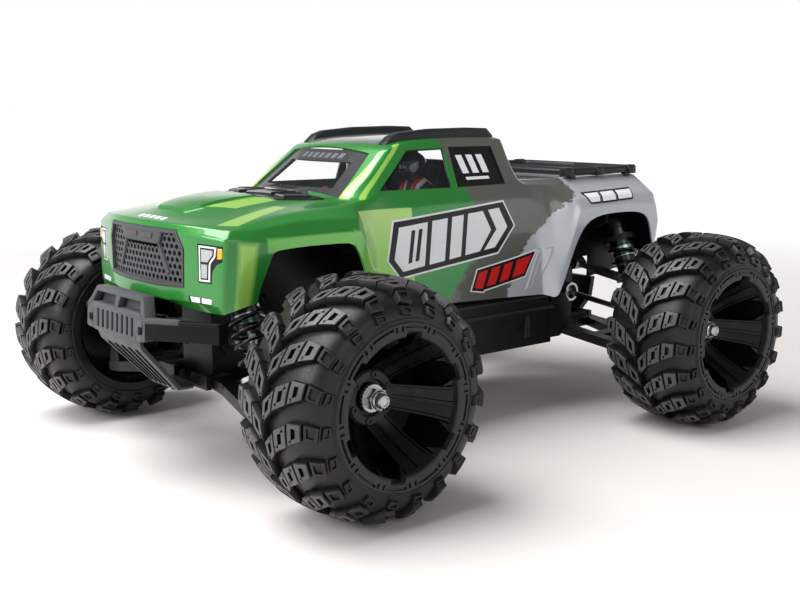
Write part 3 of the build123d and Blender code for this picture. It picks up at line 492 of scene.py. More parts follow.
def tyre_mesh():
    """A hollow carcass with V-shaped bars, and a raised line on each side near the bead."""
    shape = Shape()
    shape.revolve(carcass(0.0, 100.0, 44) + carcass(-2.6, 96.0, 44)[::-1], segments=144)
    at = tread_map()
    pitch = 2 * math.pi * TYRE_RADIUS / PITCHES
    for k in range(PITCHES):
        for side in BOTH_SIDES:
            shift = pitch * (k + (0.5 if side < 0 else 0.0))
            for block in BAR:
                tread_block(shape, at, side, shift, *block)
    radius, across, thick = BEAD_RADIUS + 1.4, HALF_WIDTH - 0.3, 0.7
    for side in BOTH_SIDES:
        line = [(radius + thick * math.cos(a), side * (across + thick * math.sin(a))) for a in whole_turn(8)]
        shape.revolve(line, segments=96)
    return shape.mesh("tyre", [RUBBER, WORN, LUG_RUBBER], 35)


# ---------------------------------------------------------------- wheel
SPOKES = 6
SPOKE_TURN = 8
RING_IN, NOTCH_RADIUS = 36.4, 39.0
RING_TURN = SPOKE_TURN - 30.0
RING_FACE, RING_BACK = 33.5, 29.0
# A spoke outwards: radius, place along the axle, half width, depth of its edges, height of its rib
STATIONS = [
    (12.5, 1.5, 7.2, 5.0, -0.9), (17.0, 3.6, 6.8, 6.0, -0.4), (24.0, 11.0, 7.4, 7.5, 0.3),
    (31.0, 20.0, 8.2, 7.0, 0.5), (36.0, 27.0, 9.2, 5.0, 0.3), (38.8, 30.5, 10.4, 3.0, 0.0),
]


def polar(radius, degrees, y):
    a = math.radians(degrees)
    return (radius * math.cos(a), y, radius * math.sin(a))


def wheel_ring():
    """The bead ring: a flat face with a notch in its inner edge between each two spokes."""
    rings = []
    for angle in whole_turn(360):
        place = (math.degrees(angle) - RING_TURN) * SPOKES / 360 % 1
        inner = RING_IN if 0.13 < place < 0.87 else NOTCH_RADIUS
        profile = [(inner, RING_BACK), (inner, RING_FACE - 0.8), (inner + 0.8, RING_FACE),
                   (BEAD_RADIUS - 0.7, RING_FACE), (BEAD_RADIUS, RING_FACE - 0.8), (BEAD_RADIUS, RING_BACK)]
        rings.append([(r * math.cos(angle), y, r * math.sin(angle)) for r, y in profile])
    shape = Shape()
    shape.loft(rings, loop=True)
    return shape


def slot_cutter():
    """Long slots and pairs of short marks round the bead ring."""
    shape = Shape()
    for k in range(12):
        centre = math.radians(30 * k + 9)
        bars = [(0.0, 0.17, 41.9, 0.75), (12.3, 0.018, 41.2, 1.4), (17.7, 0.018, 41.2, 1.4)]
        for ahead, half, radius, thick in bars:
            outline = []
            for r, turn in ((radius + thick, 1), (radius - thick, -1)):
                for j in range(5):
                    a = centre + math.radians(ahead) + turn * half * (j - 2) / 2
                    outline.append((r * math.cos(a), r * math.sin(a)))
            shape.prism(outline, RING_FACE - 1.1, RING_FACE + 2, "y")
    return shape


def spoke(shape, bearing):
    """One broad spoke: a sloping channel from the hub to the bead ring, with folded edges and a rib."""
    rings = []
    for radius, y, half, depth, rib in STATIONS:
        half_turn = math.degrees(half / radius)
        # edge foot and top, channel, rib, channel, edge top and foot
        across = [(-1, -depth), (-1, 0), (-0.86, 0.2), (-0.8, -0.9), (-0.16, -0.9), (-0.12, rib), (0.12, rib),
                  (0.16, -0.9), (0.8, -0.9), (0.86, 0.2), (1, 0), (1, -depth)]
        top = [polar(radius, bearing + half_turn * t, y + h) for t, h in across]
        foot = y - min(depth, 2.4) - 0.2
        rings.append(top + [polar(radius - 0.2, bearing + half_turn * t * 0.9, foot) for t in (0.95, -0.95)])
    shape.loft(rings)


def wheel_mesh():
    """Barrel with an inner lip, spokes with gussets, a dish behind them, and the hub with six bosses."""
    shape = Shape()
    shape.revolve([(44.0, 29.5), (44.0, 27.0), (39.2, 26.0), (37.4, 18.0), (37.2, -20.0), (39.0, -25.0),
                   (43.8, -27.0), (43.8, -29.8), (40.5, -29.8), (36.0, -25.0), (35.4, -20.0), (35.6, 18.0),
                   (37.0, 25.0), (37.6, 29.5)], segments=96)
    for k in range(SPOKES):
        bearing = 60 * k + SPOKE_TURN
        spoke(shape, bearing)
        for t in (-1, 1):
            rings = []
            for r, near, far, high, low in ((37.6, 17, 22, 29.2, 24.0), (33.6, 16, 17, 25.0, 22.0)):
                corners = ((near, high), (far, high), (far, low), (near, low))
                rings.append([polar(r, bearing + t * a, y) for a, y in corners])
            shape.loft(rings)
    shape.revolve([(8.0, -4.6), (20.0, -5.4), (36.4, -1.0), (36.4, -3.0), (20.0, -7.4), (8.0, -6.6)], 96)
    shape.revolve([(4.4, 0.0), (4.4, 3.2), (9.6, 3.2), (10.4, 5.2), (14.2, 5.2), (15.2, 3.8), (16.4, -1.5),
                   (14.5, -5.0), (12.2, -6.0), (11.0, -14.0), (9.0, -14.0), (9.0, -3.0)])
    for k in range(6):
        x, _, z = polar(12.4, 60 * k + 38, 0)
        boss = [(1.9, 3.0), (1.9, 6.0), (1.1, 6.0), (1.1, 4.4), (0.01, 4.4), (0.01, 3.0)]
        shape.revolve(boss, 16, centre=(x, z))
    data = shape.mesh("wheel", [WHEEL_PLASTIC, RING_PLASTIC], 35)
    # The hub's rim faces take the lighter bead-ring plastic: a painted highlight on the hub's edge.
    for face in data.polygons:
        c = face.center / MM
        hub_rim_painted_highlight = 9.0 < math.hypot(c.x, c.z) < 16.6 and c.y > 3.0
        if hub_rim_painted_highlight:
            face.material_index = 1
    return data


def wheel_nut():
    """The axle's threaded tip, a nylon-insert nut and its serrated flange."""
    shape = Shape()
    tip = [(0.01, 6.0), (3.9, 6.0), (3.9, 15.6), (3.2, 16.4), (2.6, 16.4), (2.2, 15.9), (0.01, 15.9)]
    shape.revolve(tip, 32)
    for k in range(6):
        shape.revolve([(3.85, 8.6 + k), (4.15, 9.1 + k), (3.85, 9.6 + k)], 24)
    shape.prism(hexagon(0, 0, 6.3, 15), 6.6, 11.6, "y")
    shape.revolve([(4.0, 11.2), (5.3, 11.4), (5.2, 13.0), (4.6, 13.6), (4.0, 13.6)], 32)
    teeth = [(8.0 if i % 3 else 7.5, a) for i, a in enumerate(whole_turn(72))]
    shape.prism([(r * math.cos(a), r * math.sin(a)) for r, a in teeth], 5.0, 6.9, "y", taper=0.06)
    return shape.mesh("nut", [STEEL], 30)


def bead_ring():
    ring = add_object("ring", wheel_ring().mesh("bead_ring", [RING_PLASTIC], 35))
    cut_out(ring, slot_cutter().mesh("slots"))
    data = ring.data
    bpy.data.objects.remove(ring)
    return data


def flipped(data, name):
    """The mesh mirrored across the truck's middle plane."""
    made = data.copy()
    made.name = name
    made.transform(Matrix.Scale(-1, 4, (0, 1, 0)))
    made.flip_normals()
    return made


def place_wheels():
    kinds = [("tyre", tyre_mesh(), "tyre_rubber", "tyre"), ("rim", wheel_mesh(), "wheel_plastic", "wheel"),
             ("bead_ring", bead_ring(), "wheel_plastic", None), ("wheel_nut", wheel_nut(), "steel", None)]
    for end, side in CORNERS:
        corner = f"{end}_{side}"
        low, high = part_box(f"tyre_{corner}")
        for kind, data, slot, stands_for in kinds:
            mesh = data if side == "left" else flipped(data, f"{kind}_right")
            obj = add_object(f"{kind}_{corner}_look", mesh, (low + high) / 2)
            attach(obj, f"wheel_{corner}")
            if stands_for:
                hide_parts(f"{stands_for}_{corner}")


place_wheels()

# ---------------------------------------------------------------- body shell
SHELL_WALL = 1.2
# Sections of the left half, front to back: centre, bonnet bulge or roof, screen edge, shoulder or belt,
# flare top, lip top, lower edge. The first four wrap down the nose, the last two down the tail.
SECTIONS = [
    [(192, 0, 105), (191.6, 24, 105), (190, 44, 103), (185.5, 71, 102.6),
     (178.6, 75.8, 105.6), (172, 77, 107.4), (166.8, 77, 108.6)],
    [(197.6, 0, 107.5), (197, 24, 107.5), (193, 44, 107.5), (186.5, 71.4, 107.4),
     (178.3, 76.2, 110.6), (171, 77.2, 112.4), (166, 77.2, 113.4)],
    [(197, 0, 113), (196.4, 24, 113), (192.8, 44, 113), (186.5, 72, 113),
     (178, 76.4, 116), (170, 77.4, 118), (164, 77.4, 119)],
    [(196.6, 0, 131), (196, 24, 131), (193, 44, 131), (186, 73, 130),
     (176.3, 76.6, 131), (166.3, 77.8, 130), (159.5, 77.8, 128)],
    [(197, 0, 146), (196.3, 24, 146), (193, 45, 146), (184.6, 74, 143.5),
     (172.5, 76.2, 143), (161.5, 77.8, 140.2), (157, 77.8, 135.2)],
    [(195, 0, 150), (194, 24, 150), (190, 45, 150), (181, 71.5, 148.3),
     (164, 74.4, 147.4), (156, 77.8, 141.6), (152.5, 78, 136.2)],
    [(184, 0, 152.5), (182, 24, 152.3), (176, 45, 152), (168, 68, 150.6),
     (154, 74, 149.2), (147, 77.8, 142.6), (145, 78, 136.6)],
    [(168, 0, 158), (166, 21, 157.6), (160, 40, 154.2), (152, 66.5, 153),
     (143, 73.6, 150.4), (137, 77.7, 143.2), (136, 78, 137)],
    [(157, 0, 160.4), (152, 22, 160.2), (145, 38, 156.2), (136, 65.6, 154.6),
     (130, 73.4, 151), (127, 77.6, 143.4), (127, 78, 137)],
    [(124, 0, 162), (120, 24, 162), (118, 38, 157.6), (110, 64.2, 156.2),
     (108, 73, 151), (108, 77.4, 143.3), (108, 77.8, 136.8)],
    [(106, 0, 161.4), (104, 26, 161), (100, 43, 159), (92, 62.6, 157),
     (92, 71.8, 149.6), (94.5, 76.4, 142.4), (98, 77.2, 136)],
    [(96, 0, 160.8), (94, 27, 160.4), (88, 51.5, 159.8), (82, 61.8, 158.6),
     (80.5, 68, 141), (85.4, 74.6, 128), (91, 76, 121.5)],
    [(78, 0, 174.6), (76, 26, 174.4), (68.5, 53.6, 174.2), (68, 62, 160.4),
     (73, 66.8, 130), (77.5, 71, 113), (84, 74, 102)],
    [(60.5, 0, 189.4), (59, 25, 189), (51, 50.4, 188.2), (50, 62, 161),
     (50, 66.4, 152), (52, 69.4, 113), (56, 69.6, 91)],
    [(46, 0, 193.6), (45, 25, 193.4), (39, 48.8, 192), (36, 62, 161.2),
     (34, 66.2, 153.4), (34, 69.4, 113), (34, 69.4, 90.4)],
    [(12, 0, 195.8), (12, 25, 195.6), (10, 49.2, 193.6), (8, 62, 161.4),
     (8, 66.2, 153.6), (8, 69.6, 113), (8, 69.4, 90)],
    [(-30, 0, 195.6), (-30, 25, 195.4), (-30, 49.4, 193.4), (-34, 62, 161.6),
     (-34, 66, 153.4), (-34, 69.4, 113), (-34, 69.2, 88.4)],
    [(-47, 0, 195), (-47, 25, 194.8), (-47.5, 49, 193), (-50, 61.8, 162),
     (-50, 65.8, 153.2), (-51, 69, 114), (-52, 69.2, 87.6)],
    [(-53, 0, 165.6), (-53, 25, 165.6), (-54, 52, 165.4), (-60, 61.6, 162),
     (-62, 65.8, 152.8), (-66, 69, 116), (-71, 69.6, 86.8)],
    [(-66, 0, 164.8), (-66, 26, 164.8), (-66, 53, 164.6), (-74, 61.8, 161),
     (-77, 67.4, 143), (-77.4, 74, 112), (-79, 76.6, 84)],
    [(-78, 0, 164.6), (-78, 26, 164.6), (-78, 54, 164.6), (-86, 62.2, 160.4),
     (-89, 72.6, 148), (-86.6, 77.6, 113), (-89.8, 78, 111)],
    [(-92, 0, 164.6), (-92, 26, 164.6), (-92, 55, 164.6), (-98, 62.4, 160.2),
     (-99, 74, 151.2), (-98.5, 77.6, 143.4), (-102.4, 78, 138)],
    [(-133, 0, 164.6), (-133, 26, 164.6), (-133, 55.4, 164.6), (-133, 62.4, 160),
     (-133, 74.2, 152.4), (-133, 77.8, 145.6), (-133, 78, 140)],
    [(-168, 0, 164.6), (-168, 26, 164.6), (-168, 55.4, 164.6), (-168, 62.4, 160),
     (-168, 74.2, 152), (-167.4, 77.8, 145.2), (-164.6, 78, 139.6)],
    [(-182, 0, 164.4), (-182, 26, 164.4), (-182, 55, 164.4), (-182, 62, 159.6),
     (-182.8, 73.6, 151.2), (-182.2, 77.6, 142), (-174.6, 77.8, 133)],
    [(-187, 0, 160), (-187, 26, 160), (-186.6, 54, 159.6), (-186, 61, 157.6),
     (-187, 72, 146), (-186.6, 76.6, 131), (-179.4, 77, 117)],
    [(-188, 0, 104), (-188, 26, 104), (-187.6, 50, 104), (-187.2, 60, 104),
     (-187.4, 69, 105), (-186.6, 73.4, 107), (-184.4, 75.4, 109)],
]
SIDE_WINDOW = [(66.5, 163.5), (37.5, 187), (7.5, 187.6), (8, 163)]
QUARTER_WINDOW = [(3, 163), (2.6, 188.2), (-36, 188), (-40.5, 163.4)]
SCREEN_TOP, SCREEN_BOTTOM = (59.0, 40.0, 186.4), (91.0, 48.5, 162.2)
GRILLE_OUTLINE = both_halves([(38, 147.2), (44, 137), (43, 115), (20, 114)])
HEADLIGHT = [(54.0, 140.8), (72.2, 140.2), (72.2, 131.8), (68.0, 129.8), (65.0, 126), (64.4, 119.2),
             (54.4, 119.2)]
FOG_LIGHT = [(46, 111.2), (64.5, 110.8), (64, 107.4), (46.8, 107.8)]


def body_surface():
    """The outer skin as a subdivided cage, creased where the real shell has folds."""
    shape = Shape()
    for turn in BOTH_SIDES:
        shape.loft([[(x, turn * y, z) for x, y, z in s] for s in SECTIONS], closed=False, caps=False)
    data = shape.mesh("body_cage", merge=0.05)
    work = bmesh.new()
    work.from_mesh(data)
    crease = work.edges.layers.float.new("crease_edge")
    for e in work.edges:
        if len(e.link_faces) == 2:
            bend = math.degrees(e.calc_face_angle(0.0))
            e[crease] = min(0.92, max(0.0, (bend - 8) / 20))
        else:
            e[crease] = 1.0
    work.to_mesh(data)
    work.free()
    obj = add_object("body", data)
    smooth = obj.modifiers.new("smooth", "SUBSURF")
    smooth.levels = smooth.render_levels = 3
    return settle(obj, 60)


def window_cutters():
    """Prisms for the side and rear windows, and a block that leans with the windscreen."""
    shape = Shape()
    for outline in (SIDE_WINDOW, QUARTER_WINDOW):
        shape.prism(resampled(outline, 60), -90, 90, "y")
    top, low = Vector(SCREEN_TOP), Vector(SCREEN_BOTTOM)
    out = (low - top).cross(Vector((0, 1, 0))).normalized()
    out = out if out.z > 0 else -out
    corners = [top, low, Vector((low.x, -low.y, low.z)), Vector((top.x, -top.y, top.z))]
    shape.loft([[c - out * 9 for c in corners], [c + out * 14 for c in corners]])
    shape.prism(trapezium(40, 170, 37, 190), -70, -40)
    return shape


def nose_cutters():
    shape = Shape()
    shape.prism(GRILLE_OUTLINE, 180, 210)
    for turn in BOTH_SIDES:
        for outline in (HEADLIGHT, FOG_LIGHT):
            shape.prism(flip_first(outline, turn), 176, 210)
    return shape


# Colour areas of the paint: (along, up) on the sides, (along, out) on the bonnet and roof
MID_GREEN = [(82, 153), (-40, 153), (-40, 80), (82, 80)]
DOOR_LIME = [(88, 152.8), (46, 152.8), (46, 96), (88, 96)]
OLIVE_AREAS = [
    [(18, 215), (-8, 150), (-220, 150), (-220, 215)],
    [(-21, 162), (-2, 113.5), (-2, 40), (-220, 40), (-220, 162)],
    [(-26, 113.5), (-2, 113.5), (16, 95), (22, 40), (-26, 40)],
]
ROOF_GREY = [(52, 36), (52, -1), (8, -1), (8, 36)]
SILVER_AREAS = [
    [(-114.6, 165.4), (-57.4, 126), (-50, 116), (-34, 87), (-34, 40), (-220, 40), (-220, 165.4)],
    [(-97, 180), (-103, 140), (-220, 140), (-220, 180)],
]
PILLAR_STRIPE = [(86.6, 159), (90.4, 159), (50.6, 193), (46.8, 193)]
LIP_LIME = [
    [(160, 142.8), (96, 142.8), (96, 135), (160, 135)],
    [(90, 141), (99, 144), (96, 118), (86, 118)],
]
# Lime down the front of each front fender, with soft edges: lime paint, and a painted highlight on the
# fender's front creases.
NOSE_LIME_AND_HIGHLIGHT = [(177, 141), (166, 140), (168.5, 126), (172.5, 100), (180, 100)]
BONNET_LIME = [[(165, 21), (153, 35), (121.7, 32), (120.4, 24)], [(182, 58), (176, 69), (127, 49), (131, 42)]]


def body_paint():
    """Green, lime, olive and silver areas, torn where they meet, under a clear coat. The lime down the front
    of each front fender is also a painted highlight.
    """
    p = Paint("body_paint", Coat_Weight=0.85, Coat_Roughness=0.04, Metallic=0.25)
    x, y, z = p.axes()
    wide = p.math("ABSOLUTE", y)
    streaks = p.noise(260, 5, 0.75, stretch=(1.0, 0.3, 1.6))
    torn = p.math("SUBTRACT", p.math("MULTIPLY", streaks, 16.0), 8.0)

    def past(limit, axis, mask):
        return p.math("MULTIPLY", mask, p.math("GREATER_THAN", axis, limit))

    lime = linear((146, 196, 84))
    door_lime = p.mix(p.ramp(z, 0.0, 1.0, 112, 150), linear((120, 186, 62)), linear((168, 206, 118)))
    olive = p.mix(p.noise(18, 4), linear((78, 81, 74)), linear((92, 94, 87)))
    silver = p.mix(p.noise(14, 3), linear((164, 169, 176)), linear((186, 190, 197)))
    stripes = []
    for back in (0.0, 8.0):
        stripe = p.polygon(x, z, [(a - back, b) for a, b in PILLAR_STRIPE])
        stripes.append(past(47.0, wide, stripe))
    facets = [past(150.0, z, p.polygon(x, wide, outline)) for outline in BONNET_LIME]
    areas = [
        (p.polygon(x, z, MID_GREEN), linear((26, 130, 54))),
        (past(45.0, wide, p.polygon(x, z, DOOR_LIME)), door_lime),
        (p.union(x, z, OLIVE_AREAS, 0.4, torn), olive),
        (past(191.0, z, p.polygon(x, wide, ROOF_GREY, 4.0)), linear((118, 121, 120))),
        (p.union(x, z, SILVER_AREAS, 0.3, torn), silver),
        (stripes[0], lime),
        (stripes[1], lime),
        (past(74.6, wide, p.union(x, z, LIP_LIME, 0.8)), linear((104, 186, 74))),
        # The front of each front fender: lime paint and a painted highlight.
        (past(72.0, wide, p.polygon(x, z, NOSE_LIME_AND_HIGHLIGHT, 1.6)), lime),
        (facets[0], lime),
        (facets[1], lime),
    ]
    colour = p.mix(p.noise(9, 2), linear((20, 112, 34)), linear((36, 136, 44)))
    for mask, area_colour in areas:
        colour = p.mix(mask, colour, area_colour)
    p.set(Base_Color=colour, Roughness=p.ramp(p.noise(5200, 1), 0.26, 0.4))
    p.bump(p.noise(38, 2), 0.08, 0.5)
    return p.material


BODY_PAINT = body_paint()


def body_shell(obj):
    """Thickens the skin, paints it black inside and cuts its windows and nose openings."""
    wall = obj.modifiers.new("wall", "SOLIDIFY")
    wall.thickness = SHELL_WALL * MM
    wall.offset = -1.0
    wall.use_even_offset = True
    wall.material_offset = 1
    wall.material_offset_rim = 0
    obj.data.materials.append(BODY_PAINT)
    obj.data.materials.append(BODY_INSIDE)
    settle(obj, 40)
    cut_out(obj, window_cutters().mesh("windows_cut"), 40)
    cut_out(obj, nose_cutters().mesh("nose_cut"), 40, "FAST")
    obj.name = "body_panels"
    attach(obj, "body")
    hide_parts("body_shell")


SURFACE = body_surface()
SKIN = BVHTree.FromObject(SURFACE, bpy.context.evaluated_depsgraph_get())
body_shell(SURFACE)
# Each view's start for a ray, from two measures, and the ray's direction
VIEWS = {
    "left": (lambda a, b: (a, 120, b), (0, -1, 0)),
    "right": (lambda a, b: (a, -120, b), (0, 1, 0)),
    "top": (lambda a, b: (a, b, 240), (0, 0, -1)),
    "front": (lambda a, b: (240, a, b), (-1, 0, 0)),
    "back": (lambda a, b: (-240, a, b), (1, 0, 0)),
}
SHARES = (0.75, 0.5, 0.25, 0.03)


def on_skin(view, a, b, lift):
    """Where the view's ray from two measures meets the body, lifted off along the surface."""
    place, direction = VIEWS[view]
    hit, normal, _, _ = SKIN.ray_cast(Vector(place(a, b)) * MM, Vector(direction))
    if hit is None:
        return Vector(place(a, b))
    if normal.dot(Vector(direction)) > 0:
        normal = -normal
    return hit / MM + normal * lift


def patch(shape, view, outline, low, high, paint=0, chamfer=0.0, step=2.5, shares=SHARES):
    """A plate lying on the body, seen from one side. All of its outline is in sight of its middle."""
    edge = resampled(outline, step)
    top = inset(edge, chamfer) if chamfer else edge
    u, v = middle(top)

    def ring(points, lift, share=1.0):
        return [on_skin(view, u + (a - u) * share, v + (b - v) * share, lift) for a, b in points]

    rings = [ring(edge, low), ring(edge, high - chamfer)]
    if chamfer:
        rings.append(ring(top, high))
    rings += [ring(top, high, share) for share in shares]
    shape.loft(rings, paint, caps=False)
    shape.add(rings[-1], [tuple(range(len(edge)))], paint)


def band(shape, view, outer, inner, low, high, paint=0):
    """A ring on the body between two outlines with as many corners as each other."""
    corners = ((outer, low), (outer, high), (inner, high), (inner, low))
    rings = [[on_skin(view, a, b, lift) for a, b in outline] for outline, lift in corners]
    shape.loft(rings, paint, loop=True)


# ---------------------------------------------------------------- nose
GRILLE_PITCH = 4.3
GRILLE_BOTTOM, GRILLE_TOP, GRILLE_REACH = 114.0, 147.2, 46.0
BADGE_BOTTOM, BADGE_TOP = 137.5, 146.6
ROW_RISE = 0.866


def grille_half_width(z):
    """How far the grille reaches from the middle at a height."""
    return 44.0 - 0.6 * max(0.0, z - 137.0) - 0.02 * max(0.0, 137.0 - z)


def badge_half_width(z):
    return 20.5 + (z - BADGE_BOTTOM) * 0.5


def grille_mesh(shape):
    """Rows of hexagon rings, left out under the plate."""
    row = 0
    z = GRILLE_BOTTOM + 1.0
    while z < GRILLE_TOP - 1.0:
        y = -GRILLE_REACH + (GRILLE_PITCH / 2 if row % 2 else 0.0)
        while y < GRILLE_REACH:
            free = abs(y) < grille_half_width(z) - 1.2
            under_badge = z > BADGE_BOTTOM - 1.0 and abs(y) < badge_half_width(z) + 0.5
            if free and not under_badge:
                outer, inner = (hexagon(y, z, GRILLE_PITCH * share, 30) for share in (0.585, 0.36))
                band(shape, "front", outer, inner, -4.2, -1.6)
            y += GRILLE_PITCH
        z += GRILLE_PITCH * ROW_RISE
        row += 1


def grille():
    """A hexagon mesh in a rounded frame, with a blank raised plate at the top and two ribs down from it."""
    shape = Shape()
    grille_mesh(shape)
    outer = resampled(GRILLE_OUTLINE, 5.0)
    band(shape, "front", outer, inset(outer, 2.6), -4.6, -0.3)
    band(shape, "front", inset(outer, 0.9), inset(outer, 2.2), -4.6, 0.2)
    low, high = badge_half_width(BADGE_BOTTOM), badge_half_width(146.4)
    patch(shape, "front", trapezium(low, BADGE_BOTTOM, high, BADGE_TOP), -4.4, 0.0, chamfer=0.7)
    bar = [(2.2, 140.6), (14.0, 140.6), (15.2, 143.6), (2.2, 143.6)]
    rib = [(low, BADGE_BOTTOM + 0.4), (low - 2.4, BADGE_BOTTOM + 0.4), (27.0, 121.0), (29.2, 122.0)]
    for turn in BOTH_SIDES:
        patch(shape, "front", flip_first(bar, turn), -0.4, 0.6, chamfer=0.2)
        patch(shape, "front", flip_first(rib, turn), -4.2, -0.7, chamfer=0.5)
    # A black plate behind the mesh: painted shade inside the nose behind the grille.
    shape.prism(trapezium(42, 112.6, 42, 147.4), 186.8, 188.0, paint=1)
    shape.piece("grille_look", [GRILLE, BLACK], "body", replaces=["grille"], smooth=30)


LAMP_GUIDE = [(55.2, 139.8), (67.6, 139.4), (67.0, 134.2), (63.4, 130.2), (63.0, 120.2), (55.2, 120.2)]
LAMP_AMBER = [(68.6, 138.9), (71.8, 138.6), (71.8, 133.4), (68.4, 133.0)]
LAMP_BED = [(53.8, 141.0), (72.8, 140.4), (72.8, 131.4), (68.4, 129.2), (65.0, 125.6), (64.4, 119.0),
            (53.8, 119.0)]
LAMP_DIVIDER = [(56.4, 131.0), (62.6, 131.0), (62.6, 129.8), (56.4, 129.8)]
FOG_BED = [(44.8, 112.0), (66.2, 111.6), (65.6, 106.4), (46.0, 106.8)]
FOG_BARS = [
    [(47.4, 110.8), (55.0, 110.7), (55.0, 107.9), (48.8, 108.0)],
    [(56.4, 110.7), (64.0, 110.5), (63.6, 107.7), (56.4, 107.9)],
]


def lamps():
    """Each lamp: a black bed, an L-shaped light guide in white, grey cells inside it and an amber corner."""
    shape = Shape()
    black, white, cell, amber = range(4)
    layers = [(LAMP_BED, -3.4, -0.5, black, 0.0, 2.5)]
    for inner, lift, paint in ((0.0, 0.15, white), (0.95, 0.22, black), (1.9, 0.4, cell)):
        layers.append((inset(LAMP_GUIDE, inner), -1.0, lift, paint, 0.0, 1.5))
    layers += [(LAMP_DIVIDER, -1.0, 0.6, black, 0.0, 2.5), (LAMP_AMBER, -1.0, 0.3, amber, 0.3, 2.5),
               (FOG_BED, -2.6, -0.5, black, 0.0, 2.5)]
    layers += [(outline, -1.0, 0.2, white, 0.2, 2.5) for outline in FOG_BARS]
    for turn in BOTH_SIDES:
        for outline, *measures in layers:
            patch(shape, "front", flip_first(outline, turn), *measures)
    shape.piece("lamps", [DECAL_BLACK, LAMP_WHITE, LAMP_CELL, AMBER], "body", smooth=30)


BUMPER_TOP, BUMPER_LOW = 110.5, 84.5
SLOT_PITCH, STRIP_HALF = 6.0, 1.75
# The bull bar's flat panels, seen from ahead: outline, depth, paint, how far back the front lies
BAR_PANELS = [
    (trapezium(27.5, 107.2, 27.0, BUMPER_TOP), 6.0, 0, 0.0),
    (trapezium(33.0, 97.6, 32.0, 101.0), 8.0, 0, 0.0),
    (trapezium(1.8, 100.6, 2.6, 107.6), 5.0, 0, 0.0),
    (trapezium(28.0, 100.6, 26.0, 107.6), 2.0, 0, 5.4),
]
# Its left end: the sloping brace, the end block round a towing hole, and the hole's black floor, which is
# painted shade at the bottom of the hole
END_PANELS = [
    ([(25.0, BUMPER_TOP - 0.2), (28.4, BUMPER_TOP - 0.4), (35.4, 98.6), (30.6, 98.6)], 7.0, 0, 0.0),
    ([(26.0, 85.0), (27.8, 85.0), (27.8, 98.0), (24.4, 98.0)], 8.0, 0, 0.0),
    ([(33.0, 85.6), (35.6, 86.0), (35.4, 99.0), (33.0, 99.0)], 8.0, 0, 0.0),
    ([(27.4, 93.8), (33.4, 93.8), (33.4, 98.4), (27.4, 98.4)], 8.0, 0, 0.0),
    ([(27.4, 85.0), (33.4, 85.6), (33.4, 89.4), (27.4, 89.0)], 8.0, 0, 0.0),
    ([(27.4, 88.6), (33.4, 88.6), (33.4, 94.4), (27.4, 94.4)], 2.0, 1, 6.5),
]
# The swept wing with its ledges, seen from above: outline, low, high, paint
WINGS = [
    ([(214.4, 35.4), (202.6, 53.0), (190.5, 74.0), (184.6, 74.0), (194.5, 51.0), (205.5, 35.4)],
     87.0, 97.0, 1),
    ([(215.0, 35.0), (203.2, 53.2), (200.0, 52.6), (209.0, 35.0)], 96.4, 99.4, 0),
    ([(203.2, 53.0), (190.6, 74.2), (186.0, 74.2), (198.0, 52.4)], 96.4, 98.6, 1),
]
BRACKET = [(176, 76), (176, 90), (209, 96), (209, 85), (182, 84)]
# The skid plate's line down and back from the bar: along, up, half width
SKID_LINE = [(213.5, 85.4, 26.5), (211.6, 79.4, 25.0), (184.2, 49.8, 16.5), (174.2, 49.6, 16.0)]


def bumper_panel(shape, outline, depth, paint=0, sink=0.0):
    """A panel whose front leans back towards the top."""
    def face(z):
        return 215.0 - 0.3 * max(0.0, z - 96.0)

    shape.loft([[(face(z) - back, y, z) for y, z in outline] for back in (sink, sink + depth)], paint)


def skid_plate(shape):
    """A plate narrowing towards the chassis, with five black ribs."""
    shape.loft([[(x, -half, z), (x, half, z), (x - 1.9, half, z + 1.9), (x - 1.9, -half, z + 1.9)]
                for x, z, half in SKID_LINE])
    for k in range(5):
        share = (k - 2) / 2.6
        rings = []
        for x, z, half in ((210.4, 78.6, 22.0), (186.0, 52.2, 14.5)):
            low, high = share * half - 1.0, share * half + 1.0
            rings.append([(x + 0.9, low, z - 0.8), (x + 0.9, high, z - 0.8), (x - 0.8, high, z + 0.8),
                          (x - 0.8, low, z + 0.8)])
        shape.loft(rings, 1)


def bumper():
    """A bull bar with two windows over a row of slots, swept wings, and a ribbed skid plate below."""
    shape = Shape()
    for row in BAR_PANELS:
        bumper_panel(shape, *row)
    for turn in BOTH_SIDES:
        for outline, *measures in END_PANELS:
            bumper_panel(shape, flip_first(outline, turn), *measures)
        for outline, low, high, paint in WINGS:
            shape.prism(flip_second(outline, turn), low, high, "z", paint)
        shape.prism(BRACKET, turn * 13 - 3, turn * 13 + 3, "y", 1)
    for k in range(9):
        low, high = (k - 4) * SLOT_PITCH - STRIP_HALF, (k - 4) * SLOT_PITCH + STRIP_HALF
        bumper_panel(shape, [(low, 86.6), (high, 86.6), (high, 98.2), (low, 98.2)], 6.0)
    bumper_panel(shape, trapezium(26.0, BUMPER_LOW, 26.0, 87.0), 8.0)
    # A black plate behind the row of slots: painted shade in the slots.
    bumper_panel(shape, trapezium(26.0, 86.0, 26.0, 98.4), 1.5, 1, 6.4)
    skid_plate(shape)
    shape.piece("bumper_look", [BUMPER, BLACK], "chassis", 0.45, ["front_bumper"], 35)


# ---------------------------------------------------------------- bonnet, roof and bed
def bonnet_panel():
    """The raised middle of the bonnet, with chamfered sides."""
    shape = Shape()
    outline = [(176.0, 15.0), (166.0, 20.5), (132.0, 23.5), (132.0, -23.5), (166.0, -20.5), (176.0, -15.0)]
    patch(shape, "top", outline, -0.6, 1.5, chamfer=1.3)
    shape.piece("bonnet_panel", [BODY_PAINT], "body", smooth=30)


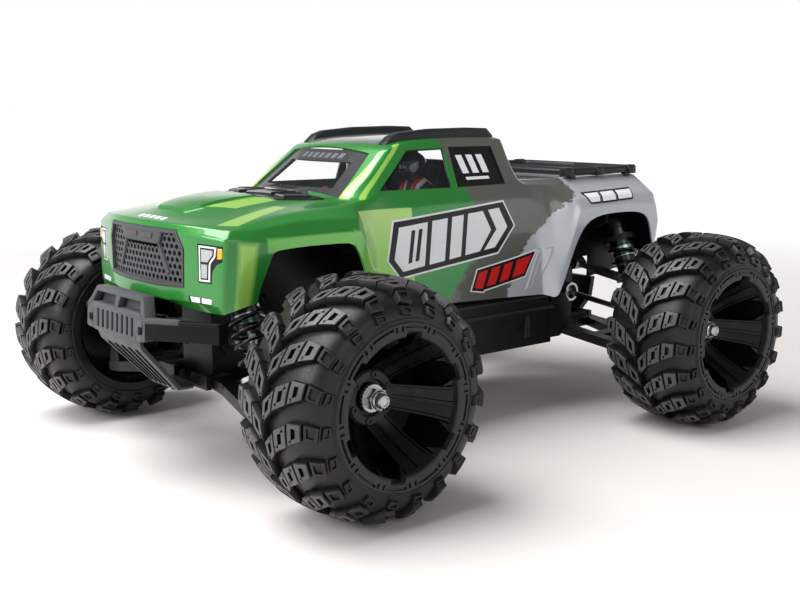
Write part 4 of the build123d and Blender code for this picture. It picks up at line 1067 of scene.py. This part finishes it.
def bonnet_vent():
    """A gloss black insert at the back of the bonnet, with a stepped scoop and ribs on each side."""
    shape = Shape()
    half = [(131, 0), (129, 20), (124, 31), (97, 45), (96.4, 0)]
    patch(shape, "top", half + flip_second(half[1:-1], -1)[::-1], -0.4, 0.7, chamfer=0.3)
    scoop = [(126, 4), (120, 22), (101, 28), (101, 4)]
    wing = [(119.5, 25), (117, 31), (101, 38), (101, 31)]
    for turn in BOTH_SIDES:
        patch(shape, "top", flip_second(scoop, turn), 0.4, 2.2, chamfer=0.8)
        patch(shape, "top", flip_second(wing, turn), 0.4, 1.7, chamfer=0.6)
        for k in range(4):
            y = turn * (8.5 + 4.6 * k)
            rib = [(114, y), (114, y + turn * 1.6), (103.5, y + turn * 2.4), (103.5, y + turn * 0.8)]
            patch(shape, "top", rib, 2.0, 2.7, chamfer=0.3)
    shape.piece("bonnet_vent", [TRIM], "body", smooth=30)


# A roof rail's height above the roof at each place along it
RAIL_LINE = [(49, 0.4), (43, 3.6), (36, 4.9), (10, 5.6), (-24, 5.9), (-41, 5.6), (-46, 2.0)]


def roof_rails():
    """A low rail along each side of the roof, tapered at both ends."""
    shape = Shape()
    for turn in BOTH_SIDES:
        rings = []
        for x, lift in RAIL_LINE:
            foot = on_skin("top", x, turn * 40.0, 0.0).z
            low, top = foot - 0.8, foot + lift
            edge = top - 1.2
            across = [(43.4, low), (43.0, edge), (41.8, top), (36.8, top), (35.4, edge), (34.0, low)]
            rings.append([(x, turn * y, z) for y, z in across])
        shape.loft(rings)
    shape.piece("roof_rails", [RACK], "body", 0.5, smooth=35)


RACK_Z, RACK_HALF, RACK_BACK = 168.2, 56.0, -181


def bed_rack():
    """A tube frame round the bed's rim, with two cross bars, clamps, end blocks and feet."""
    shape = Shape()
    for turn in BOTH_SIDES:
        y = turn * RACK_HALF
        bends = [(-105, 0.0), (-168, 0.0), (-176, 1.5), (-180, 5.0), (RACK_BACK, 10.0)]
        rail = [(x, y - turn * inwards, RACK_Z) for x, inwards in bends]
        shape.tube(rail + [(RACK_BACK, 0, RACK_Z)], 2.7, sides=16)
        clamp = [(-3.4, -3.2), (3.4, -3.2), (3.4, 1.8), (2.0, 3.2), (-2.0, 3.2), (-3.4, 1.8)]
        for x in (-107.0, -140.0, -176.0):
            shape.prism([(y + a, RACK_Z + b) for a, b in clamp], x - 4.0, x + 4.0)
        for x in (-112.0, -172.0):
            foot = [(x - 3.0, 163.0), (x + 3.0, 163.0), (x + 2.2, RACK_Z), (x - 2.2, RACK_Z)]
            shape.prism(foot, y - 2.0, y + 2.0, "y")
    for x, radius in ((-107.0, 2.3), (-140.0, 1.5)):
        shape.tube([(x, y, RACK_Z) for y in (RACK_HALF, 0, -RACK_HALF)], radius, sides=16)
    shape.piece("bed_rack_look", [RACK], "body", 0.4, ["bed_rack"], 35)


# ---------------------------------------------------------------- sides
def side_intakes():
    """The folded panel ahead of each rear arch."""
    shape = Shape()
    front_fold = [(-64.4, 118.0), (-68.0, 118.5), (-56.0, 92.0), (-52.8, 91.8)]
    rear_fold = [(-69.6, 118.8), (-77.0, 119.4), (-66.0, 92.6), (-57.8, 92.2)]
    for view in ("left", "right"):
        patch(shape, view, front_fold, -0.8, 1.2, chamfer=0.7)
        patch(shape, view, rear_fold, -0.8, 0.8, chamfer=0.7)
    shape.piece("side_intakes", [BODY_PAINT], "body", smooth=30)


def side_prism(shape, outline, inner, outer, turn, paint=0):
    """A prism along Y between two distances from the middle, on the side that turn says."""
    low, high = sorted((turn * inner, turn * outer))
    shape.prism(outline, low, high, "y", paint)


def arch_shade_panels():
    """Black panels inside the shell that close the wheel arches off from the middle of the truck: painted
    shade where the arches are dark inside.
    """
    shape = Shape()
    front = [(60, 148), (60, 96), (138, 96), (138, 106), (184, 106), (184, 144), (160, 148)]
    rear = [(-88, 162), (-88, 104), (-151, 104), (-151, 88), (-185, 92), (-185, 160)]
    for turn in BOTH_SIDES:
        for outline in (front, rear):
            side_prism(shape, outline, 39.4, 40.8, turn)
    shape.piece("arch_shade_panels", [BLACK], "body", 0.3, smooth=35)


def guard_ledges():
    """Two ledges, a rib and a rear end on each of the tub's side guards. The ledges and rib are lighter than
    the chassis as a painted highlight.
    """
    shape = Shape()
    ledges = ((-86, 71, 75.4, 77.6, 67.2), (-80, 66, 83.6, 85.4, 66.8), (-64, -58, 57.0, 75.6, 65.0))
    rear_end = [(-84, 85), (-98, 85), (-105, 76), (-105, 62), (-94, 54), (-84, 54)]
    for turn in BOTH_SIDES:
        for x0, x1, z0, z1, out in ledges:
            side_prism(shape, [(x0, z0), (x1, z0), (x1 - 1.5, z1), (x0 + 1.5, z1)], 63.0, out, turn)
        side_prism(shape, rear_end, 50.0, 65.4, turn, 1)
    shape.piece("guard_ledges", [LEDGE_HIGHLIGHT_PLASTIC, CHASSIS], "chassis", 0.5, smooth=35)


# ---------------------------------------------------------------- glass
SCREEN_OUTLINE = both_halves([(41.4, 187.6), (49.6, 161.0)])
SCREEN_FOOT, SCREEN_RISE = 161.0, 26.6
# Half width at the foot and how much narrower the top is, for the screen and for its clear part
SCREEN_HALF, SCREEN_TAPER = 49.6, 8.2
CLEAR_HALF, CLEAR_TAPER = 36.0, 4.5
CLEAR_FOOT, CLEAR_RISE = 165.6, 15.0


def windscreen(shape):
    """A dark printed border round clear glass, whose corners match the outline's one by one."""
    edge = resampled(SCREEN_OUTLINE, 4.0)
    clear = []
    for u, v in edge:
        share = (v - SCREEN_FOOT) / SCREEN_RISE
        reach = (CLEAR_HALF - CLEAR_TAPER * share) / (SCREEN_HALF - SCREEN_TAPER * share)
        clear.append((u * reach, CLEAR_FOOT + CLEAR_RISE * share))
    band(shape, "front", edge, clear, -1.9, -1.0)
    patch(shape, "front", clear, -1.9, -1.1, 1)


def pane(shape, view, outline, border):
    """A window: a dark printed border round clear glass."""
    edge = resampled(outline, 4.0)
    clear = inset(edge, border)
    band(shape, view, edge, clear, -1.7, -1.0)
    patch(shape, view, clear, -1.7, -1.1, 1)


def windows():
    """The windscreen, the side windows, the black quarter panels with their frames, and the rear screen."""
    shape = Shape()
    windscreen(shape)
    frame_edge = resampled(QUARTER_WINDOW, 4.0)
    for view in ("left", "right"):
        pane(shape, view, inset(SIDE_WINDOW, -1.2), 1.6)
        patch(shape, view, resampled(inset(QUARTER_WINDOW, -1.2), 4.0), -1.9, -0.5, 2)
        band(shape, view, inset(frame_edge, 0.3), inset(frame_edge, 1.5), -0.7, -0.1, 2)
    pane(shape, "back", trapezium(41, 169, 38, 191), 3.0)
    materials = [SCREEN_BAND, GLASS, DECAL_BLACK]
    shape.piece("windows_look", materials, "body", replaces=["windows"], smooth=30)


# ---------------------------------------------------------------- printed film
def slanted(u, v, width, height, lean):
    """A leaning four-sided bar with its lower corner at u and v."""
    return [(u, v), (u + width, v), (u + width + lean, v + height), (u + lean, v + height)]


# Plain leaning blocks and a chevron on a black ground, as (along, up) of each corner
FINE_SHARES = [k / 16 for k in range(15, 0, -1)]
DOOR_GROUND = [(67.2, 121.4), (58.2, 110.8), (-26.5, 119.6), (-42.5, 136.2), (-33.0, 152.0), (60.2, 144.6)]
DOOR_BLOCKS = [
    [(62.6, 121.9), (56.0, 114.2), (38.0, 116.2), (34.0, 143.2), (57.0, 141.2)],
    [(34.0, 116.6), (21.0, 118.0), (17.0, 144.6), (30.0, 143.6)],
    [(17.0, 118.4), (7.0, 119.6), (3.0, 145.8), (13.0, 145.0)],
    [(3.0, 120.0), (-10.0, 121.4), (-21.0, 134.6), (-14.0, 147.2), (-1.0, 146.2)],
    [(-14.0, 121.9), (-24.0, 123.0), (-36.2, 135.6), (-26.0, 134.6)],
    [(-26.0, 134.6), (-36.2, 135.6), (-29.0, 148.4), (-19.0, 147.6)],
]
DOOR_NOTCHES = [
    [(51.6, 118.8), (48.6, 119.2), (44.6, 139.0), (47.6, 138.8)],
    [(45.6, 119.6), (42.6, 120.0), (38.6, 139.4), (41.6, 139.2)],
]
SILL_BARS = [
    [(-9.0, 107.6), (-17.4, 108.8), (-12.4, 96.6), (-5.0, 97.8)],
    [(-21.0, 109.2), (-29.2, 110.4), (-24.2, 98.8), (-16.2, 97.8)],
    [(-33.0, 110.8), (-41.0, 112.0), (-36.2, 100.6), (-28.0, 99.4)],
    [(-45.0, 112.6), (-59.0, 115.0), (-51.4, 103.0), (-40.2, 101.2)],
]
FENDER_BARS = [
    [(-108.0, 153.6), (-122.0, 154.0), (-120.4, 148.2), (-111.0, 148.0)],
    [(-125.0, 154.0), (-139.0, 154.4), (-137.4, 148.6), (-123.4, 148.2)],
    [(-142.0, 154.4), (-158.4, 154.8), (-155.4, 149.2), (-140.4, 148.8)],
]
WINDOW_BARS = [slanted(u, 171.5, 5.4, 11.6, 3.0) for u in (-10.5, -19.5, -28.5)]
WINDOW_BARS.append(slanted(-27.5, 167.4, 20.5, 1.8, 0.5))
FILM_PAINTS = [DECAL_WHITE, DECAL_BLACK, DECAL_RED, DECAL_GREY]
WHITE, DARK, RED, GREY = range(4)
# Each film from the lowest up: outlines, inset, underside, lift, paint, step of the edge
FILMS = [
    ([DOOR_GROUND], -1.2, -0.3, 0.3, WHITE, 3.0),
    ([DOOR_GROUND], 0.0, -0.3, 0.4, DARK, 3.0),
    (DOOR_BLOCKS, None, 0.0, 0.55, WHITE, 3.0),
    (DOOR_NOTCHES, None, 0.0, 0.68, DARK, 3.0),
    (SILL_BARS, -2.6, 0.0, 0.34, WHITE, 4.0),
    (SILL_BARS, -1.8, 0.0, 0.38, DARK, 4.0),
    (SILL_BARS, None, 0.0, 0.45, RED, 4.0),
    (FENDER_BARS, -1.1, 0.0, 0.3, DARK, 1.6),
    (FENDER_BARS, 0.0, 0.0, 0.5, WHITE, 1.6),
    (WINDOW_BARS, None, -0.8, -0.35, WHITE, 4.0),
]


def graphics():
    """Generic printed shapes: leaning blocks with black and white borders, and rows of small bars."""
    shape = Shape()
    for view in ("left", "right"):
        for outlines, border, low, lift, paint, step in FILMS:
            shares = FINE_SHARES if outlines[0] is DOOR_GROUND else SHARES
            for outline in outlines:
                edge = outline if border is None else inset(outline, border)
                patch(shape, view, edge, low, lift, paint, step=step, shares=shares)
    for k in range(7):
        bar = slanted(-21.0 + 6.4 * k, 182.4, 4.2, 3.0, 0.8)
        patch(shape, "front", bar, -1.4, -0.85, GREY, step=4.0)
    for k in range(5):
        y = -13.0 + 6.4 * k
        bar = [(190.4, y), (190.4, y + 4.4), (186.4, y + 3.6), (186.4, y - 0.8)]
        patch(shape, "top", bar, -0.2, 0.14, WHITE, step=4.0)
    shape.piece("printed_film", FILM_PAINTS, "body", smooth=30)


# ---------------------------------------------------------------- cockpit
CREW = ((6.0, 22.0), (14.0, -24.0))
HELMET_RADIUS = 9.6
# The crew's trunk upwards: height, half width, half depth
TRUNK = [(138, 9, 7), (146, 10.5, 7.6), (156, 12, 7.8), (161, 11, 6.6), (165, 6, 5), (167, 4.5, 4.4)]
COCKPIT_PAINTS = [COCKPIT_DARK, FABRIC, HELMET_SHELL, VISOR, DECAL_RED, DECAL_WHITE]
TRAY, CLOTH, HELMET, GLAZED, STRAP, EDGING = range(6)


def helmet(shape, cx, cy, cz):
    """A full-face helmet: a shell with a sunk opening and a chin bar, and a visor."""
    rings = []
    for i in range(13):
        t = math.radians(-68 + 158 * i / 12)
        radius = HELMET_RADIUS * math.cos(t) * (1.0 if t > 0 else 0.94)
        z = cz + HELMET_RADIUS * 1.06 * math.sin(t)
        ring = []
        for a in whole_turn(28):
            chin = 1.12 if math.cos(a) > 0.4 and math.sin(t) < -0.1 else 1.0
            dent = 0.9 if abs(math.sin(t)) < 0.42 and math.cos(a) > 0.35 and math.sin(t) > -0.2 else 1.0
            ring.append((cx + radius * 1.08 * math.cos(a) * chin * dent,
                         cy + radius * 0.92 * math.sin(a) * dent, z))
        rings.append(ring)
    shape.loft(rings, HELMET)
    visor = []
    for i in range(5):
        t = math.radians(-10 + 32 * i / 4)
        turns = [math.radians(-64 + 128 * k / 12) for k in range(13)]
        visor.append([(cx + HELMET_RADIUS * 1.03 * math.cos(t) * math.cos(a),
                       cy + HELMET_RADIUS * 0.9 * math.cos(t) * math.sin(a),
                       cz + HELMET_RADIUS * 1.06 * math.sin(t)) for a in turns])
    shape.loft(visor, GLAZED, closed=False, caps=False)


def seat(shape, x, y):
    """A bucket seat: base, back and side wings."""
    base = [(x - 14, 129), (x + 30, 129), (x + 30, 138), (x - 8, 136)]
    back = [(x - 20, 130), (x - 11, 130), (x - 13, 176), (x - 18, 179), (x - 22, 176)]
    wing = [(x - 20, 132), (x + 2, 132), (x - 4, 158), (x - 10, 170), (x - 20, 172)]
    shape.prism(base, y - 14, y + 14, "y", TRAY)
    shape.prism(back, y - 12, y + 12, "y", TRAY)
    for turn in BOTH_SIDES:
        shape.prism(wing, y + turn * 12, y + turn * 15, "y", TRAY, taper=0.1)


def crew_member(shape, x, y):
    """Trunk, arms with gloves, two harness straps with white edges, and a helmet."""
    shape.loft([[(x - 2 + deep * math.cos(a), y + half * math.sin(a), z) for a in whole_turn(20)]
                for z, half, deep in TRUNK], CLOTH)
    over_shoulder = [(x - 9, 164), (x - 3, 167.6), (x + 3.4, 163.5), (x + 6.4, 156), (x + 6.6, 142)]
    for turn in BOTH_SIDES:
        shape.tube([(x, y + turn * 11, 159), (x + 10, y + turn * 12, 150), (x + 24, y + turn * 7, 156)], 3.4,
                   paint=CLOTH)
        shape.tube([(x + 22, y + turn * 7.4, 155.4), (x + 27, y + turn * 6.6, 157.4)], 3.8, paint=STRAP)
        for inner, outer, paint, grow in ((3.2, 8.4, EDGING, 0.5), (4.2, 7.4, STRAP, 0.9)):
            low, high = y + turn * inner, y + turn * outer
            shape.loft([[(px + grow, low, pz + grow), (px + grow, high, pz + grow - 0.8),
                         (px - 1.5, high, pz - 2.2), (px - 1.5, low, pz - 1.6)]
                        for px, pz in over_shoulder], paint)
    helmet(shape, x + 1, y, 174.5)


def cockpit():
    """Tray, dashboard, bulkhead, two seats with helmeted crew, steering wheel and roll hoop. No faces."""
    shape = Shape()
    shape.prism([(-50, -54), (82, -54), (82, 54), (-50, 54)], 126, 129, "z", TRAY)
    shape.prism([(58, 128), (80, 128), (80, 150), (74, 157), (62, 157), (58, 150)], -46, 46, "y", TRAY)
    shape.prism([(-49, 128), (-44, 128), (-40, 160), (-44, 160)], -46, 46, "y", TRAY)
    for x, y in CREW:
        seat(shape, x, y)
        crew_member(shape, x, y)
    x, y = CREW[0]
    rim = [(x + 29 + 1.5 * math.cos(a), y + 8.5 * math.sin(a), 157 + 8.5 * math.cos(a))
           for a in whole_turn(24)]
    shape.tube(rim, 1.1, sides=8, paint=TRAY, loop=True)
    shape.tube([(x + 30, y, 156), (x + 52, y, 150)], 1.6, paint=TRAY)
    left_hoop = [(-40, 46, 130), (-40, 46, 172), (-36, 38, 184), (-34, 20, 187)]
    shape.tube(left_hoop + [(x, -y, z) for x, y, z in left_hoop[::-1]], 2.2, paint=TRAY)
    shape.piece("cockpit_look", COCKPIT_PAINTS, "body", 0.3, ["cockpit"], 35)


for make in (grille, lamps, bumper, bonnet_panel, bed_rack, side_intakes, arch_shade_panels, guard_ledges,
             bonnet_vent, roof_rails, windows, graphics, cockpit):
    make()


# ---------------------------------------------------------------- shocks
# Measures along a shock are taken from its top eye, downwards below zero
SHOCK_TOP, SHOCK_FOOT = Vector((167.0, 48.0, 136.0)), Vector((167.0, 84.0, 55.0))
SHOCK_UP = (SHOCK_TOP - SHOCK_FOOT).normalized()
SPRING_SEAT, SPRING_FOOT = -23.0, -74.5
COIL_RADIUS, WIRE_RADIUS, COIL_TURNS = 9.9, 1.1, 5.75
COIL_STEPS, END_TURN_FLATNESS = 190, 0.045
# Rings on the shock's body: inner radius, top, outer radius, foot
SHOCK_RINGS = [
    ("collar", RACK, [(7.7, -19.2, 11.9, -22.8)]),
    ("green_rings", GREEN_RING, [(7.6, -24.2, 8.5, -26.4), (7.6, -44.2, 8.3, -46.0)]),
    ("silver_rings", STEEL, [(7.6, -27.4, 8.6, -30.4), (7.6, -34.0, 8.2, -35.2), (7.6, -39.6, 8.3, -41.4)]),
]


def flips(end, side):
    """The signs that carry a point at the front left to another corner."""
    return Vector((1 if end == "front" else -1, 1 if side == "left" else -1, 1))


def along_shock(radius, angle, down, flip):
    """A point round the shock's axis."""
    across = Vector((1, 0, 0))
    other = across.cross(SHOCK_UP)
    p = SHOCK_TOP + SHOCK_UP * down + (across * math.cos(angle) + other * math.sin(angle)) * radius
    return (p.x * flip.x, p.y * flip.y, p.z)


def coil_spring(end, side):
    """A coil with its first and last turns nearly flat."""
    corner, flip = f"{end}_{side}", flips(end, side)
    path = []
    top, foot = SPRING_SEAT - WIRE_RADIUS, SPRING_FOOT + WIRE_RADIUS
    for i in range(COIL_STEPS + 1):
        t = i / COIL_STEPS
        share = t + END_TURN_FLATNESS * math.sin(2 * math.pi * t)
        path.append(along_shock(COIL_RADIUS, 2 * math.pi * COIL_TURNS * t, top + (foot - top) * share, flip))
    coil = Shape()
    coil.tube(path, WIRE_RADIUS, sides=10)
    obj = coil.piece(f"spring_{corner}_look", [SPRING], f"shock_body_{corner}",
                     replaces=[f"shock_spring_{corner}"], smooth=50)
    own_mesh(obj)


def shock_rings(end, side):
    """Preload collar, clip rings and bands on the shock's body."""
    corner, flip = f"{end}_{side}", flips(end, side)
    for name, paint, rings in SHOCK_RINGS:
        shape = Shape()
        for inner, high, outer, low in rings:
            profile = [(inner, high), (outer - 0.3, high), (outer, high - 0.3), (outer, low + 0.3),
                       (outer - 0.3, low), (inner, low)]
            shape.loft([[along_shock(r, a, d, flip) for r, d in profile] for a in whole_turn(40)], loop=True)
        shape.piece(f"{name}_{corner}", [paint], f"shock_body_{corner}", smooth=35)


for shock_end, shock_side in CORNERS:
    coil_spring(shock_end, shock_side)
    shock_rings(shock_end, shock_side)


# ---------------------------------------------------------------- CAD nodes that stay
FINISHES = {
    "chassis_plastic": CHASSIS, "bumper_plastic": BUMPER, "arm_plastic": ARM, "rack_plastic": RACK,
    "gear_plastic": BLACK, "steel": STEEL, "shock_metal": ANODISED, "spring_steel": SPRING,
    "electronics_plastic": BLACK, "motor_can": DARK_STEEL, "battery_wrap": BATTERY_WRAP,
    "cockpit_plastic": BLACK, "grille_plastic": GRILLE, "wheel_plastic": WHEEL_PLASTIC, "tyre_rubber": RUBBER,
}
for part in frame["record"]["subparts"]:
    node = frame["nodes"][part["node"]]
    finish_material = FINISHES.get(part["material_slot"])
    if finish_material:
        node.data.materials.clear()
        node.data.materials.append(finish_material)


# ---------------------------------------------------------------- studio, in metres
BACKDROP, CEILING = 1.0, 0.22
CEILING_STARTS, CEILING_ENDS = 0.16, 0.42
FLOOR_FADE = (0.36, 1.3)
FLOOR_RINGS = (10, 700, 2600, 9000)
CAMERA_BEARING, CAMERA_HEIGHT, CAMERA_DISTANCE = math.radians(49.673), math.radians(11.279), 0.8023
CAMERA_AIM = Vector((0, 0, 0.0585))
LENS_MM, SENSOR_MM, LENS_SHIFT = 51.61, 36.0, (0.001, 0.0406)
# Name, place, aim, size and power of each softbox
SOFTBOXES = [
    ("softbox_top", (0.5, -0.25, 1.25), (0, 0, 0.1), (1.1, 0.9), 25.0),
    ("softbox_front", (1.25, -0.15, 0.75), (0.1, 0, 0.1), (0.8, 0.6), 11.0),
    ("softbox_left", (0.2, 1.5, 0.9), (0, 0, 0.1), (1.0, 0.6), 3.5),
]


def area_light(name, place, aim, size, power):
    lamp = bpy.data.lights.new(name, "AREA")
    lamp.shape = "RECTANGLE"
    lamp.size, lamp.size_y = size
    lamp.energy = power
    obj = add_object(name, lamp, place)
    obj.rotation_euler = (Vector(aim) - Vector(place)).to_track_quat("-Z", "Y").to_euler()


def studio_floor():
    """A pale floor that fades into a pale backdrop."""
    floor = Shape()
    rings = [[(r * math.cos(a), r * math.sin(a), 0) for a in whole_turn(64)] for r in FLOOR_RINGS]
    floor.loft(rings, caps=False)
    floor.add(rings[0], [tuple(range(64))])
    p = Paint("studio_floor", Roughness=0.7, Specular_IOR_Level=0.2)
    reach = p.add("ShaderNodeVectorMath", {0: p.place}, operation="LENGTH").outputs["Value"]
    far = p.ramp(reach, 0.0, 1.0, *FLOOR_FADE)
    p.set(Base_Color=p.mix(far, linear((226, 221, 218)), linear((60, 60, 60))),
          Emission_Color=(1.0, 1.0, 1.0, 1.0), Emission_Strength=p.math("MULTIPLY", far, BACKDROP))
    add_object("studio_floor", floor.mesh("studio_floor", [p.material]))


def surroundings():
    """A bright band at eye level under a dim ceiling."""
    world = bpy.data.worlds.new("studio")
    world.use_nodes = True
    nodes, links = world.node_tree.nodes, world.node_tree.links
    split = nodes.new("ShaderNodeSeparateXYZ")
    links.new(nodes.new("ShaderNodeTexCoord").outputs["Generated"], split.inputs[0])
    brightness = nodes.new("ShaderNodeMapRange")
    for socket, value in enumerate((CEILING_STARTS, CEILING_ENDS, BACKDROP, CEILING), 1):
        brightness.inputs[socket].default_value = value
    links.new(split.outputs["Z"], brightness.inputs[0])
    links.new(brightness.outputs[0], nodes["Background"].inputs["Strength"])
    nodes["Background"].inputs["Color"].default_value = (1, 1, 1, 1)
    bpy.context.scene.world = world


def camera():
    """A normal lens a little above the roof, off the left front corner."""
    level, rise = math.cos(CAMERA_HEIGHT), math.sin(CAMERA_HEIGHT)
    back = Vector((level * math.cos(CAMERA_BEARING), level * math.sin(CAMERA_BEARING), rise))
    lens = bpy.data.cameras.new("camera")
    lens.lens, lens.sensor_width = LENS_MM, SENSOR_MM
    lens.shift_x, lens.shift_y = LENS_SHIFT
    lens.clip_start, lens.clip_end = 0.01, 50
    obj = add_object("camera", lens, CAMERA_AIM + back * CAMERA_DISTANCE)
    obj.rotation_euler = (-back).to_track_quat("-Z", "Y").to_euler()
    bpy.context.scene.camera = obj


bpy.context.scene.view_settings.view_transform = "Standard"
studio_floor()
surroundings()
for softbox in SOFTBOXES:
    area_light(*softbox)
camera()
